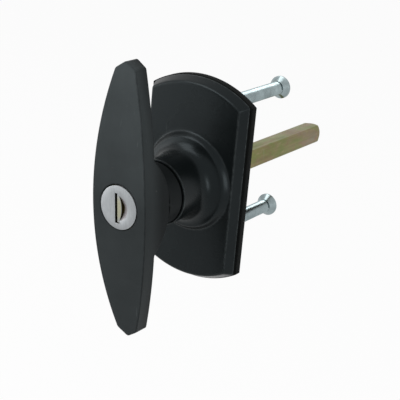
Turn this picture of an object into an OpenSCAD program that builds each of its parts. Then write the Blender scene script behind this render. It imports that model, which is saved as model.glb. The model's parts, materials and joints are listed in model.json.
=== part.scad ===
// Garage door T handle with a wafer lock in its grip.
// The handle turns in a rose that is screwed to the door from behind, and drives a square spindle.
// +Y points into the door, -Y at the hand, +Z up. The origin is on the spindle's axis, at the door's face.
// Modules draw in a working frame: x to the right, y up, z out of the door towards the hand.

/* [Handle] */
// Length of the T bar from tip to tip
bar_len = 110.2; // [100:0.2:130]
// Width of the bar at its middle
bar_w = 25.8; // [25.4:0.2:32]
// Width of the bar where its pointed ends begin
bar_end_w = 9.6; // [8:0.2:14]
// Rise of a pointed end past that line
bar_end_rise = 3; // [2:0.1:4]
// Thickness of the bar
bar_thick = 6.4; // [5:0.2:8]
// How far the bar's ends lie back from its middle
bar_bow = 4.3; // [2:0.1:8]
// From the door's face to the front of the bar
reach = 50.5; // [50:0.5:60]
// Radius of the swelling behind the bar
hub_r = 27.2; // [25:0.2:32]
// Depth of that swelling behind the bar's front
hub_depth = 18.1; // [17:0.1:19.5]
// Diameter of the neck
neck_d = 25.2; // [24:0.2:25.2]
// Diameter of the journal that turns in the rose
journal_d = 18; // [17.5:0.1:18.5]
// Length of the journal behind the door's face
tail_out = 8; // [7:0.5:14]
// Turn of the handle in the photographed pose, in degrees
handle_lean = 4.6; // [0:0.1:5]

/* [Rose and gasket] */
// Diameter of the rose at its back
rose_d = 85.8; // [78:0.2:96]
// Width of the rose across its flats at its back
rose_w = 47.4; // [47:0.2:56]
// Thickness of the rose's plate
rose_thick = 4.6; // [4.4:0.1:7]
// Draft of the plate's edge, from back to front
rose_draft = 2.2; // [0.5:0.1:2.6]
// Thickness of the gasket
gasket_thick = 2.9; // [1.5:0.1:5]
// How far the gasket stands out beside the rose's flats
gasket_lip = 0.9; // [0:0.1:2]
// How far the gasket stands out past the rose's round ends
gasket_end_lip = 0.2; // [0:0.1:2]
// Diameter of the boss round the journal
boss_d = 26.6; // [26.4:0.2:30]
// Height of the boss on the plate
boss_h = 19.5; // [18.5:0.5:20.5]
// Radius of the hollow curve at the foot of the boss
boss_cove = 5.1; // [3:0.1:5.4]
// Radius of the round bead below it
boss_bead = 1.9; // [1.5:0.1:2.2]
// Radius of the fillet from the bead to the plate
boss_foot = 0.7; // [0.4:0.1:1]
// Gap between the boss and the neck
seam_gap = 0.7; // [0.6:0.1:1.4]

/* [Spindle and screws] */
// Side of the square spindle
spindle_w = 8; // [7:0.1:8.5]
// Length of the spindle behind the door's face
spindle_out = 91; // [50:1:140]
// Distance between the two screws
screw_pitch = 56; // [54:0.5:62]
// Diameter of a screw's shank
screw_d = 6; // [5:0.5:7]
// Diameter of a screw in the rose's tapped hole
screw_root_d = 5; // [4:0.1:5]
// Diameter of a screw's head
head_d = 10; // [9:0.5:13]
// Length of a screw behind the door's face
screw_out = 56.9; // [30:0.1:90]

/* [Lock] */
// Diameter of the plug's face
face_d = 17.3; // [16.6:0.1:17.4]
// Thickness of the steel cap on the plug
cap_thick = 1.2; // [0.8:0.1:1.6]
// Thickness of the plug's flange
flange_thick = 1.8; // [1.2:0.1:2.2]
// Diameter of the barrel
barrel_d = 18; // [17.8:0.1:18.6]
// Diameter of the plug in the barrel
plug_d = 14; // [13.6:0.1:14.2]
// Width of the keyway
keyway_w = 1.2; // [0.8:0.1:1.4]
// Height of the keyway above the axis
keyway_up = 5.5; // [4.6:0.1:5.8]
// Depth of the keyway below the axis
keyway_down = 6.3; // [4.6:0.1:6.4]
// Outer radius of the half-moon scoop beside the keyway
moon_r = 5.3; // [4.8:0.1:5.6]
// Outer radius of the scoop at the cap's back
moon_floor_r = 2.9; // [2.5:0.1:3.4]
// Radius of the curve between the scoop and the flat land
land_r = 11.7; // [11.6:0.1:12]
// Width of a wafer
wafer_w = 5; // [4.6:0.1:5.2]
// Thickness of a wafer
wafer_thick = 1; // [0.7:0.05:1.2]
// How far a wafer springs out of the plug
wafer_lift = 0.9; // [0.5:0.05:1]
// Radius at which the drive pin swings
pin_swing = 2.2; // [1.8:0.05:2.3]
// Diameter of the drive pin
pin_d = 2.4; // [2:0.1:2.6]
// Thickness of the locking bolt
bolt_thick = 5.4; // [4.6:0.1:5.6]
// Width of the locking bolt's nose
nose_w = 6; // [5:0.1:6.4]

/* [Clearances] */
// Round gap at a turning fit
run_gap = 0.05; // [0.02:0.01:0.1]
// Gap beside a sliding piece
slide_gap = 0.1; // [0.06:0.01:0.15]
// Gap between the drive pin and the bolt's slot
slot_gap = 0.15; // [0.1:0.01:0.25]
// Gap where pieces pass each other
free_gap = 0.3; // [0.25:0.05:0.4]
// Gap at a pressed or tapped fit
seat_gap = 0.02; // [0.01:0.01:0.04]

/* [Hidden] */
$fn = 128;
fine = 1440;
small = 48;
cut = 1;

// Levels above the door's face, from the gasket to the neck
gasket_top = gasket_thick;
plate_top = gasket_top + rose_thick;
boss_top = plate_top + boss_h;
neck_back = boss_top + seam_gap;

// Retaining stack in the recess at the back of the rose
clip_thick = 1.1;
clip_width = 2.6;
washer_thick = 1.2;
wave_thick = 1.3;
stack_width = 3.5;
clip_groove_depth = 1;
clip_back = gasket_top + free_gap;
washer_back = clip_back + clip_thick;
wave_back = washer_back + washer_thick;
recess_top = wave_back + wave_thick;
journal_r = journal_d / 2;
stack_r = journal_r + stack_width;
recess_r = stack_r + 2 * free_gap;
clip_groove_r = journal_r - clip_groove_depth;

// Locking bolt, driven by the pin on the plug's tail
bolt_wall = 2.5;
bolt_rim = 1.45;
nose_proud = 0.15;
bolt_sunk = 0.2;
pin_start = 45;
bolt_back = recess_top + bolt_wall;
bolt_front = bolt_back + bolt_thick;
pin_r = pin_d / 2;
pin_side = pin_swing * sin(pin_start);
bolt_throw = 2 * pin_side;
bolt_half_w = pin_swing + pin_r + slot_gap + bolt_rim;
nose_end = sqrt(pow(journal_r, 2) - pow(nose_w / 2, 2)) + nose_proud;
bolt_tail = -sqrt(pow(journal_r, 2) - pow(bolt_half_w, 2)) + bolt_sunk;
bolt_shoulder = 3.4;
play_deg = 5.4;
shaft_bore_r = journal_r + free_gap;

// Bearing of the journal
bush_wall = 1.2;
bush_step = 1;
washer_lap = 0.4;
bush_back = bolt_front + bush_step;
bush_r = journal_r + bush_wall;
washer_face_r = bush_r + washer_lap;
ring_thick = 0.96;
ring_groove_depth = 1.05;
ring_inset = 2.2;
ring_groove_r = journal_r - ring_groove_depth;
ring_groove_w = 1.4;
ring_mid = boss_top - ring_inset;

// Stop pin and its groove
stop_r = (bush_r + boss_d / 2) / 2;
stop_pin_r = 0.8;
stop_pin_in = 4;
stop_depth = 2.5;
stop_start = 225;
stop_turn = 90;
stop_edge = asin((stop_pin_r + slot_gap) / stop_r);

// Lock levels, from the neck's floor to the cap
neck_web = 1.4;
plug_end_gap = 0.2;
plug_stub = 1.4;
face_proud = 0.1;
lock_floor = neck_back + neck_web;
plug_back = lock_floor + plug_end_gap;
barrel_back = plug_back + plug_stub;
face_front = reach + face_proud;
flange_front = face_front - cap_thick;
barrel_front = flange_front - flange_thick;
plug_r = plug_d / 2;
plug_bore_r = plug_r + run_gap;
barrel_bore_r = barrel_d / 2;
barrel_r = barrel_bore_r - seat_gap;
plug_clip_thick = 0.75;
plug_clip_inset = 1;
clip_seat_depth = 1.1;
clip_land = 0.5;
clip_mouth = 0.7;
clip_seat_r = plug_r - clip_seat_depth;
clip_seat_back = plug_back + clip_land;
keyway_floor = 0.5;
barrel_pin_r = 1;
barrel_pin_tip = 0.95;
barrel_pin_sunk = 0.2;
tail_rim = 0.8;
tail_r = pin_swing + pin_r + tail_rim;
tail_back = bolt_front + free_gap;
drive_pin_in = 1.5;
tang_w = 3;
tang_h = 6;

// Wafers, spread evenly along the barrel
wafer_count = 5;
wafer_edge = 2.7;
wafer_pitch = (barrel_front - barrel_back - 2 * wafer_edge) / (wafer_count - 1);
wafer_cuts = [0.4, -0.3, 0.6, 0, -0.5];
wafer_r = plug_r - slide_gap;
window_h = 5.4;
ear_w = 1.4;
ear_bottom = 2;
ear_top = 3.2;
spring_r = 0.55;
spring_len = 4.4;
spring_x = wafer_w / 2 + 2 * slide_gap + spring_r;
keyway_x = -1.1;
moon_x = -0.65;
moon_y = -0.25;
land_edge = 1.5;
hook_len = 1.6;
hook_w = 0.45;
hook_depth = 0.4;
channel_r = plug_r + wafer_lift + free_gap;

// Bar outline and bow
bar_half = bar_len / 2;
chord_y = bar_half - bar_end_rise;
side_drop = (bar_w - bar_end_w) / 2;
side_r = (pow(chord_y, 2) + pow(side_drop, 2)) / (2 * side_drop);
bow_r = (pow(chord_y, 2) + pow(bar_bow, 2)) / (2 * bar_bow);
eave_y = bar_half - bar_end_rise * bar_w / bar_end_w;

// Spindle and screws
spindle_chamfer = 0.5;
spindle_web = 1.2;
spindle_floor = bolt_back - slide_gap - spindle_web;
point_step = 0.4;
cross_pin_r = 1.5;
cross_pin_z = -tail_out / 2;
head_rim = 0.7;
head_cone = (head_d - screw_d) / 2;
tap_floor = 0.9;
tap_depth = rose_thick - tap_floor;
socket_w = 4;
socket_depth = 2;

// Places a door-side piece drawn in the working frame
module on_door() {
    rotate([90, 0, 0]) children();
}

// Places a handle-side piece, turned to the photographed pose
module on_handle() {
    rotate([90, 0, 0]) rotate([0, 0, handle_lean]) children();
}

module rod(r, z0, z1) {
    translate([0, 0, z0]) cylinder(r = r, h = z1 - z0);
}

module cone(r0, r1, z0, z1) {
    translate([0, 0, z0]) cylinder(r1 = r0, r2 = r1, h = z1 - z0);
}

module ring(r_out, r_in, z0, z1) {
    difference() {
        rod(r_out, z0, z1);
        rod(r_in, z0 - cut, z1 + cut);
    }
}

module slab(x0, x1, y0, y1, z0, z1) {
    translate([x0, y0, z0]) cube([x1 - x0, y1 - y0, z1 - z0]);
}

// A wedge of a circle, as a flat shape from one angle to another
module sector(r, from, to) {
    steps = 4;
    far = r / cos((to - from) / steps / 2);
    points = [for (i = [0:steps]) let(a = from + (to - from) * i / steps) far * [cos(a), sin(a)]];
    intersection() {
        circle(r = r);
        polygon(concat([[0, 0]], points));
    }
}

// Outline of the T bar: two long arcs closed by shallow points
module bar_outline() {
    intersection() {
        translate([bar_w / 2 - side_r, 0]) circle(r = side_r, $fn = fine);
        translate([side_r - bar_w / 2, 0]) circle(r = side_r, $fn = fine);
        polygon([[0, bar_half], [bar_w / 2, eave_y], [bar_w / 2, -eave_y],
                 [0, -bar_half], [-bar_w / 2, -eave_y], [-bar_w / 2, eave_y]]);
    }
}

// A wide cylinder across the bar, whose surface is the bar's bowed front or back
module bow(r) {
    translate([0, 0, reach - bow_r]) rotate([0, 90, 0])
        cylinder(r = r, h = 2 * bar_w, center = true, $fn = fine);
}

module hub_ball() {
    translate([0, 0, reach - hub_depth + hub_r]) sphere(r = hub_r);
}

module grip() {
    difference() {
        intersection() {
            translate([0, 0, reach - hub_depth - cut])
                linear_extrude(height = hub_depth + 2 * cut) bar_outline();
            bow(bow_r);
        }
        difference() {
            bow(bow_r - bar_thick);
            hub_ball();
        }
    }
}

// Room for the locking bolt across the journal, with a window for its nose
module bolt_room() {
    z0 = bolt_back - slide_gap;
    z1 = bolt_front + slide_gap;
    shoulder = bolt_shoulder + bolt_throw + free_gap;
    half = bolt_half_w + slide_gap;
    slab(-journal_r - cut, shoulder, -half, half, z0, z1);
    slab(0, journal_r + cut, -nose_w / 2 - slide_gap, nose_w / 2 + slide_gap, z0, z1);
}

module t_handle() {
    color("#3b4144") on_handle() difference() {
        union() {
            grip();
            rod(neck_d / 2, neck_back, reach - bar_thick / 2);
            rod(journal_r, -tail_out, neck_back + cut);
        }
        rod(barrel_bore_r, lock_floor, reach + cut);
        rod(tail_r + run_gap, bolt_front, lock_floor + cut);
        bolt_room();
        translate([0, 0, -tail_out - cut]) linear_extrude(height = spindle_floor + tail_out + cut)
            square(spindle_w + 2 * run_gap, center = true);
        ring(journal_r + cut, clip_groove_r, clip_back - run_gap, washer_back + run_gap);
        ring(journal_r + cut, ring_groove_r, ring_mid - ring_groove_w / 2, ring_mid + ring_groove_w / 2);
        cross_pin(cross_pin_r, journal_r + cut);
        stop_rod(stop_pin_r, stop_pin_in);
        barrel_rod(barrel_pin_r, cut);
    }
}

// Cross pin through the journal's tail and the spindle
module cross_pin(r, half) {
    translate([0, 0, cross_pin_z]) rotate([90, 0, 0]) cylinder(r = r, h = 2 * half, center = true);
}

// Stop pin in the back of the neck
module stop_rod(r, depth) {
    rotate([0, 0, stop_start]) translate([stop_r, 0, 0])
        rod(r, boss_top - stop_depth + free_gap, neck_back + depth);
}

// Pin from the bar's left side into the barrel
module barrel_rod(r, past) {
    z = (barrel_back + barrel_front) / 2;
    tip = plug_bore_r + barrel_pin_tip;
    end = max(bar_w, neck_d) / 2 - barrel_pin_sunk;
    translate([-tip, 0, z]) rotate([0, -90, 0]) cylinder(r = r, h = end + past - tip);
}

module lock_barrel() {
    half = wafer_w / 2 + 2 * slide_gap;
    color("#b9a36a") on_handle() difference() {
        rod(barrel_r, barrel_back, barrel_front);
        rod(plug_bore_r, barrel_back - cut, barrel_front + cut);
        for (turn = [0, 90]) rotate([0, 0, turn])
            slab(-half, half, -channel_r, channel_r, barrel_back - cut, barrel_front - cut);
        barrel_rod(barrel_pin_r, cut);
    }
}

module barrel_pin() {
    color("#8d8f90") on_handle() barrel_rod(barrel_pin_r - seat_gap, 0);
}

function wafer_z(i) = barrel_front - wafer_edge - i * wafer_pitch;

module keyway(z0, z1) {
    slab(keyway_x - keyway_w / 2, keyway_x + keyway_w / 2, -keyway_down, keyway_up, z0, z1);
}

// Room in the plug for one wafer, its ear and its spring
module wafer_room(z) {
    half = wafer_thick / 2 + seat_gap;
    side = wafer_w / 2 + slide_gap;
    slab(-side, side, -plug_r - cut, plug_r + cut, z - half, z + half);
    slab(0, wafer_w / 2 + ear_w + slide_gap, ear_bottom - slide_gap, ear_top + wafer_lift + free_gap,
         z - half, z + half);
    wafer_spring(z, spring_r + slide_gap, slide_gap);
}

module wafer_spring(z, r, past) {
    translate([spring_x, ear_bottom, z]) rotate([90, 0, 0])
        cylinder(r = r, h = spring_len + past, $fn = small);
}

module plug() {
    color("#b08d3f") on_handle() difference() {
        union() {
            rod(face_d / 2, barrel_front, flange_front);
            rod(plug_r, plug_back, barrel_front + cut);
        }
        keyway(barrel_back + keyway_floor, flange_front + cut);
        for (i = [0:wafer_count - 1]) wafer_room(wafer_z(i));
        ring(plug_r + cut, clip_seat_r, clip_seat_back, clip_seat_back + plug_clip_thick + slide_gap);
        tang(plug_back - cut, seat_gap);
    }
}

// Flat tongue by which the plug drives its tail
module tang(z0, gap) {
    slab(-tang_w / 2 - gap, tang_w / 2 + gap, -tang_h / 2 - gap, tang_h / 2 + gap, z0, barrel_back);
}

module plug_face() {
    color("#b4b9bd") on_handle() difference() {
        rod(face_d / 2, flange_front, face_front);
        keyway(flange_front - cut, face_front + cut);
        slab(keyway_x, keyway_x + hook_len, -keyway_down, hook_w - keyway_down,
             face_front - hook_depth, face_front + cut);
        difference() {
            translate([moon_x, moon_y, 0])
                cone(moon_floor_r, moon_r, flange_front - seat_gap, face_front + seat_gap);
            translate([land_edge - land_r, moon_y, 0])
                rod(land_r, flange_front - cut, face_front + cut, $fn = fine / 4);
        }
    }
}

module plug_clip() {
    z0 = clip_seat_back + slide_gap / 2;
    mouth = clip_seat_r * clip_mouth;
    color("#9a9c9d") on_handle() difference() {
        ring(barrel_r - plug_clip_inset, clip_seat_r + run_gap, z0, z0 + plug_clip_thick);
        slab(-mouth, mouth, -barrel_d, 0, z0 - cut, z0 + plug_clip_thick + cut);
    }
}

module wafer(i) {
    z0 = wafer_z(i) - wafer_thick / 2;
    color("#c2a75a") on_handle() translate([0, 0, z0]) linear_extrude(height = wafer_thick) difference() {
        union() {
            intersection() {
                circle(r = wafer_r);
                square([wafer_w, plug_d], center = true);
            }
            translate([0, ear_bottom]) square([wafer_w / 2 + ear_w, ear_top - ear_bottom]);
        }
        translate([keyway_x, wafer_cuts[i]])
            square([keyway_w + 2 * free_gap, window_h + 2 * ear_w], center = true);
    }
}

module wafer_springs() {
    color("#a8abad") on_handle() for (i = [0:wafer_count - 1]) wafer_spring(wafer_z(i), spring_r, 0);
}

module tailpiece() {
    color("#8f9496") on_handle() difference() {
        union() {
            rod(tail_r, tail_back, plug_back);
            tang(plug_back - cut, 0);
        }
        drive_rod(pin_r, cut);
    }
}

// Drive pin, off the axis and half a right angle before the top
module drive_rod(r, past) {
    translate([-pin_side, pin_side, 0]) rod(r, bolt_back + free_gap, tail_back + drive_pin_in + past);
}

module drive_pin() {
    color("#7f8587") on_handle() drive_rod(pin_r - seat_gap, 0);
}

module locking_bolt() {
    half = pin_r + slot_gap;
    color("#a3a7a8") on_handle() difference() {
        union() {
            slab(bolt_tail, bolt_shoulder, -bolt_half_w, bolt_half_w, bolt_back, bolt_front);
            slab(0, nose_end, -nose_w / 2, nose_w / 2, bolt_back, bolt_front);
        }
        slab(-pin_side - half, -pin_side + half, pin_side - half, pin_swing + half,
             bolt_back - cut, bolt_front + cut);
    }
}

module stop_pin() {
    color("#8d8f90") on_handle() stop_rod(stop_pin_r - seat_gap, stop_pin_in - seat_gap);
}

module o_ring() {
    r = ring_groove_r + seat_gap + ring_thick / 2;
    color("#151515") on_handle() translate([0, 0, ring_mid]) rotate_extrude()
        translate([r, 0]) circle(r = ring_thick / 2, $fn = small);
}

module neck_bush() {
    color("#2b2c2c") on_door() ring(bush_r - seat_gap, journal_r + run_gap, bush_back, boss_top);
}

module thrust_washer() {
    color("#1b1c1c") on_door() ring(washer_face_r, journal_r + run_gap, boss_top, neck_back);
}

// Half section of the boss: cylinder, cove, bead and foot
module boss_section() {
    r0 = boss_d / 2;
    r1 = r0 + boss_cove;
    r2 = r1 + boss_bead;
    r3 = r2 + boss_foot;
    foot_z = plate_top + boss_foot;
    bead_z = foot_z + boss_bead;
    cove_z = bead_z + boss_cove;
    base = gasket_top + cut;
    translate([0, base]) square([r0, boss_top - base]);
    difference() {
        translate([0, base]) square([r1, cove_z - base]);
        translate([r1, cove_z]) circle(r = boss_cove);
    }
    translate([0, base]) square([r2, foot_z - base]);
    translate([r1, foot_z]) circle(r = boss_bead);
    difference() {
        translate([0, base]) square([r3, foot_z - base]);
        translate([r3, foot_z]) circle(r = boss_foot);
    }
}

// Drafted plate: a shallow cone cut by two sloping flats
module rose_plate() {
    back = rose_w / 2;
    front = back - rose_draft;
    intersection() {
        cone(rose_d / 2, rose_d / 2 - rose_draft, gasket_top, plate_top, $fn = fine / 4);
        rotate([90, 0, 0]) linear_extrude(height = rose_d, center = true)
            polygon([[-back, gasket_top], [back, gasket_top], [front, plate_top], [-front, plate_top]]);
    }
}

// Two notches that take the locking bolt, with play to each side
module bolt_notches() {
    half = asin((nose_w / 2 + slide_gap) / shaft_bore_r) + play_deg;
    tip = sqrt(pow(nose_end + bolt_throw, 2) + pow(nose_w / 2, 2)) + free_gap;
    translate([0, 0, bolt_back - free_gap]) linear_extrude(height = bolt_thick + 2 * free_gap)
        for (turn = [0, 90]) sector(tip, turn - half, turn + half);
}

module rose() {
    color("#2a2e30") on_door() difference() {
        union() {
            rose_plate();
            rotate_extrude() boss_section();
        }
        rod(bush_r, bush_back, boss_top + cut);
        rod(shaft_bore_r, gasket_top - cut, bush_back + cut);
        rod(recess_r, gasket_top - cut, recess_top);
        bolt_notches();
        translate([0, 0, boss_top - stop_depth]) linear_extrude(height = stop_depth + cut) difference() {
            sector(stop_r + stop_pin_r + slot_gap, stop_start - stop_edge,
                   stop_start + stop_turn + stop_edge);
            circle(r = stop_r - stop_pin_r - slot_gap);
        }
        screw_places() rod(screw_root_d / 2, gasket_top - cut, gasket_top + tap_depth);
    }
}

module screw_places() {
    for (s = [-1, 1]) translate([0, s * screw_pitch / 2, 0]) children();
}

module gasket() {
    color("#151716") on_door() linear_extrude(height = gasket_thick) difference() {
        intersection() {
            circle(r = rose_d / 2 + gasket_end_lip, $fn = fine / 4);
            square([rose_w + 2 * gasket_lip, rose_d + 2 * cut], center = true);
        }
        circle(r = recess_r + free_gap);
        screw_places() circle(r = screw_d / 2 + free_gap);
    }
}

module wave_washer() {
    color("#8b8f91") on_door() ring(stack_r, journal_r + free_gap, wave_back, recess_top);
}

module retaining_washer() {
    color("#9fa3a5") on_handle() ring(stack_r, journal_r + slide_gap, washer_back, wave_back);
}

module retaining_clip() {
    color("#6d7173") on_handle() difference() {
        ring(clip_groove_r + clip_width, clip_groove_r + run_gap, clip_back, washer_back);
        slab(-clip_width, clip_width, -recess_r, 0, clip_back - cut, washer_back + cut);
    }
}

// Square bar with eased edges and a turned point
module spindle_bar() {
    h = spindle_w / 2;
    e = h - spindle_chamfer;
    tip_r = h - point_step;
    corner_r = h * sqrt(2);
    difference() {
        translate([0, 0, -spindle_out]) linear_extrude(height = spindle_out + spindle_floor - slide_gap)
            polygon([[h, -e], [h, e], [e, h], [-e, h], [-h, e], [-h, -e], [-e, -h], [e, -h]]);
        rotate_extrude() polygon([[tip_r - cut, -spindle_out - cut], [corner_r, -spindle_out - cut],
                                  [corner_r, -spindle_out + corner_r - tip_r]]);
    }
}

module spindle() {
    color("#9a8f5c") on_handle() difference() {
        spindle_bar();
        cross_pin(cross_pin_r, journal_r);
    }
}

module spindle_pin() {
    color("#8d8f90") on_handle() cross_pin(cross_pin_r - seat_gap, journal_r - free_gap);
}

// Countersunk screw with a hexagon socket, from behind the door, its cone towards the hand
module fixing_screw() {
    rim = -screw_out + head_rim;
    difference() {
        union() {
            rod(screw_root_d / 2 - seat_gap, -cut, gasket_top + tap_depth - free_gap);
            rod(screw_d / 2, rim + head_cone, 0);
            cone(head_d / 2, screw_d / 2, rim, rim + head_cone);
            rod(head_d / 2, -screw_out, rim);
        }
        rod(socket_w / sqrt(3), -screw_out - cut, -screw_out + socket_depth, $fn = 6);
    }
}

module fixing_screws() {
    color("#c3cbd0") on_door() screw_places() fixing_screw();
}

t_handle();
lock_barrel();
barrel_pin();
plug();
plug_face();
plug_clip();
wafer(0);  // wafer_1
wafer(1);  // wafer_2
wafer(2);  // wafer_3
wafer(3);  // wafer_4
wafer(4);  // wafer_5
wafer_springs();
tailpiece();
drive_pin();
locking_bolt();
stop_pin();
o_ring();
neck_bush();
thrust_washer();
rose();
gasket();
wave_washer();
retaining_washer();
retaining_clip();
spindle();
spindle_pin();
fixing_screws();
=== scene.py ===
import json
import math

import bmesh
import bpy
import numpy as np
from bpy.props import FloatProperty, FloatVectorProperty, IntProperty, PointerProperty
from mathutils import Matrix, Vector


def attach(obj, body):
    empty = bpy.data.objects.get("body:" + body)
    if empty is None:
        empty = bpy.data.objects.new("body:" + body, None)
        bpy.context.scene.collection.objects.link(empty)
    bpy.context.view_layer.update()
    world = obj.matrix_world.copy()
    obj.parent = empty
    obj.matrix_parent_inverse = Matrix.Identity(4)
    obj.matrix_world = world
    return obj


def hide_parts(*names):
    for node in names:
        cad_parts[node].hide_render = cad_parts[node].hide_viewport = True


bl_info = {
    "name": "Garage door T handle lock",
    "version": (1, 0, 0),
    "blender": (4, 5, 0),
    "location": "3D View > Sidebar > T handle",
    "description": "Dresses the packed solids of a locking T handle for a garage door",
    "category": "Object",
}

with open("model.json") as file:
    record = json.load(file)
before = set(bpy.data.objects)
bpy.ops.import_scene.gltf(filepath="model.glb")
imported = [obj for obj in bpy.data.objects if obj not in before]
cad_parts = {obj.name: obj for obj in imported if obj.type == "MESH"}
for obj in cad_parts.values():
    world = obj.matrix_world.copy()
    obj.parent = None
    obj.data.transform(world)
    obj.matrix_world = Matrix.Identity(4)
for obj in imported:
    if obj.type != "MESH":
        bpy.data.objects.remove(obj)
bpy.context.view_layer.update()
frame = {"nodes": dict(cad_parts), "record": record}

MM = 0.001
HANDLE_BODY = "handle_set"
ROSE_BODY = "rose_set"
PLUG_BODY = "plug_set"

# Points in a ring and in a quarter of it, and how an outline's quarter is shared out
POINTS = 384
QUARTER = POINTS // 4 + 1
BAR_TURN, BAR_SLOPE, BAR_TIP = 6, 8, 5
ROSE_TURN, ROSE_TOP = 9, 33

# Rings or steps over each stretch of a skin
FRONT_RINGS = 26
BACK_RINGS = 52
WALL_RINGS = 10
NECK_RINGS = 5
BOSS_RINGS = 6
COVE_RINGS = 19
BEAD_RINGS = 25
PLATE_RINGS = 14
DRAFT_RINGS = 6
ROUND_STEPS = 6
HOLE_STEPS = 4

# Points round a bore, a hole, a pin's hole and the arc of a wedge
BORE_POINTS, HOLE_POINTS, PIN_POINTS, WEDGE_POINTS = 64, 48, 32, 40

# Where a stretch starts beside a rounding, in parts of its radius, and how much of a gap a rounding takes
CLEAR = 1.5
HOLE_CLEAR = 1.6
HOLE_WALL = 3.0
BOSS_CLEAR = 2.0
RIM_CLEAR = 1.6
DRAFT_CLEAR = 1.2
LIP_CLEAR = 4.0
GAP_SHARE = 0.4

# Merging and creases
MERGE = 1e-4 * MM
SOLID_MERGE = 1e-3 * MM
FLAT_ANGLE = math.radians(0.4)
SHARP_ANGLE = math.radians(28)
CREASE_ANGLE = math.radians(32)
THREAD_CREASE = math.radians(24)
ROUND_PROFILE = 0.5
EDGE_SEGMENTS, GASKET_SEGMENTS = 2, 3

# Spindle hole and grooves of the journal: a groove's back, front and radius
SPINDLE_HOLE = 4.05 * MM
SPINDLE_FLOOR = 8.0 * MM
RING_GROOVE = (24.1 * MM, 25.5 * MM, 7.95 * MM)
CLIP_GROOVE = (3.15 * MM, 4.35 * MM, 8.0 * MM)
TAIL_EDGE = 0.5 * MM

# Rooms in the handle: outlines as left, right, bottom and top, levels as back and front
BOLT_ROOM = (-10 * MM, 6.81 * MM, -5.3 * MM, 5.3 * MM)
NOSE_WINDOW = (0.0, 10 * MM, -3.1 * MM, 3.1 * MM)
BOLT_LEVELS = (9.2 * MM, 14.8 * MM)
TAIL_BORE_R = 4.25 * MM
TAIL_LEVELS = (14.7 * MM, 29.8 * MM)
STOP_HOLE_R = 0.8 * MM
STOP_PLACE = (-8.31 * MM, -8.31 * MM)
STOP_LEVELS = (26 * MM, 32 * MM)
PIN_HOLE_R = 1.5 * MM
PIN_SPAN = (-10 * MM, 10 * MM)
PIN_LEVEL = -4 * MM
SIDE_HOLE_R = 1.0 * MM
SIDE_SPAN = (-14 * MM, -8.5 * MM)
SIDE_LEVEL = 39.15 * MM

# Rooms in the rose: the bolt's notches, the stop pin's groove and the tapped holes, with angles in degrees
NOTCH_R = 12.41 * MM
NOTCH_HALF = 24.65
NOTCH_TURNS = (0, 90)
NOTCH_LEVELS = (9.0 * MM, 15.0 * MM)
GROOVE_R, GROOVE_INNER = 12.7 * MM, 10.8 * MM
GROOVE_SPAN = (220.37, 319.63)
GROOVE_DEPTH = 2.5 * MM
TAP_DEPTH = 3.7 * MM
OVERCUT = 1 * MM

# Shape of the rose: its small lips, where the bead's fall starts, how late it falls, and its softer ends
LIP = 0.3 * MM
CREST = 0.12
SKEW = 1.25
END_START, END_SPAN = 0.68, 0.2

# Screws and springs
ROD_SIDES, HEAD_SIDES, CONE_RINGS, HEXAGON = 48, 96, 6, 6
THREAD_START = 0.3
THREAD_FRONT = 2.4 * MM
FLANK = 0.47
SPRING_FIRST = (3.25 * MM, 2.0 * MM, 44.9 * MM)
SPRING_LAST = (3.25 * MM, 2.0 * MM, 33.4 * MM)
SPRING_COUNT = 5
COIL_STEPS, WIRE_SIDES = 16, 8

# Sockets of the Mix node for colours: its factor, its two colours and the result
MIX_FACTOR, MIX_FIRST, MIX_SECOND, MIX_RESULT = 0, 6, 7, 2

# Detail and roughness of the noises
LINE, SLOW, SMOOTH, SOFT, FINE = (1.0, 0.4), (1.0, 0.5), (2.0, 0.5), (3.0, 0.55), (3.0, 0.6)
CLOUDY, BROKEN, MOTTLED, RAGGED = (4.0, 0.6), (4.0, 0.65), (5.0, 0.65), (5.0, 0.7)

# Shared effects: their inputs, scales in waves a metre, bands as the span of a value that a mask rises over
GRAIN_INPUTS = {"Scale": 2500.0, "Swell": 260.0}
WEAR_INPUTS = {"Radius": 0.6 * MM, "Amount": 1.0}
MARK_INPUTS = {"Specks": 1.0, "Scratches": 1.0}
BRUSH_INPUTS = {"Stretch": (4000.0, 4000.0, 90.0), "Cloud Scale": 160.0}
CLOUD_SCALE = 55.0
CLOUD_BAND = (0.3, 0.7)
SWELL_SHARE = 0.6
WEAR_SAMPLES = 6
WEAR_BEND = (0.008, 0.045)
WEAR_SCALE = 420.0
WEAR_BAND = (0.3, 0.62)
SPECK_SCALE = 240.0
SPECK_SIZE = (0.035, 0.075)
SPECK_CHOICE = (0.9, 0.93)
SCRATCH_TURN = (0.3, 0.7, 0.5)
SCRATCH_STRETCH = (900.0, 900.0, 70.0)
SCRATCH_BAND = (0.715, 0.75)
SCRATCH_PATCHES = 130.0
SCRATCH_PATCH_BAND = (0.55, 0.66)

# Black coats: roughness, gloss, grain, relief, worn edges and marks; the worn edges also carry a painted edge
# line, shade on the handle and a highlight on the rose
HANDLE_COAT = {
    "rough": 0.42,
    "gloss": 0.06,
    "grain": 2600.0,
    "swell": 420.0,
    "relief": 0.16,
    "depth": 0.12 * MM,
    "edge": 0.9 * MM,
    "wear": 0.9,
    "specks": 0.5,
    "scratches": 0.5,
}
ROSE_COAT = {
    "rough": 0.27,
    "gloss": 0.16,
    "grain": 2200.0,
    "swell": 300.0,
    "relief": 0.1,
    "depth": 0.1 * MM,
    "edge": 1.1 * MM,
    "wear": 0.8,
    "specks": 0.35,
    "scratches": 0.3,
}
COAT_CLOUDS = (0.86, 1.12)
COAT_DULL = (-0.04, 0.05)
COAT_TINT = (0.8, 0.94, 1.0, 1.0)
SCRATCH_TONE = (0.078, 0.091, 0.096)
DUST_TONE = (0.3, 0.31, 0.31)
DUST_DULL = 0.3
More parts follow.
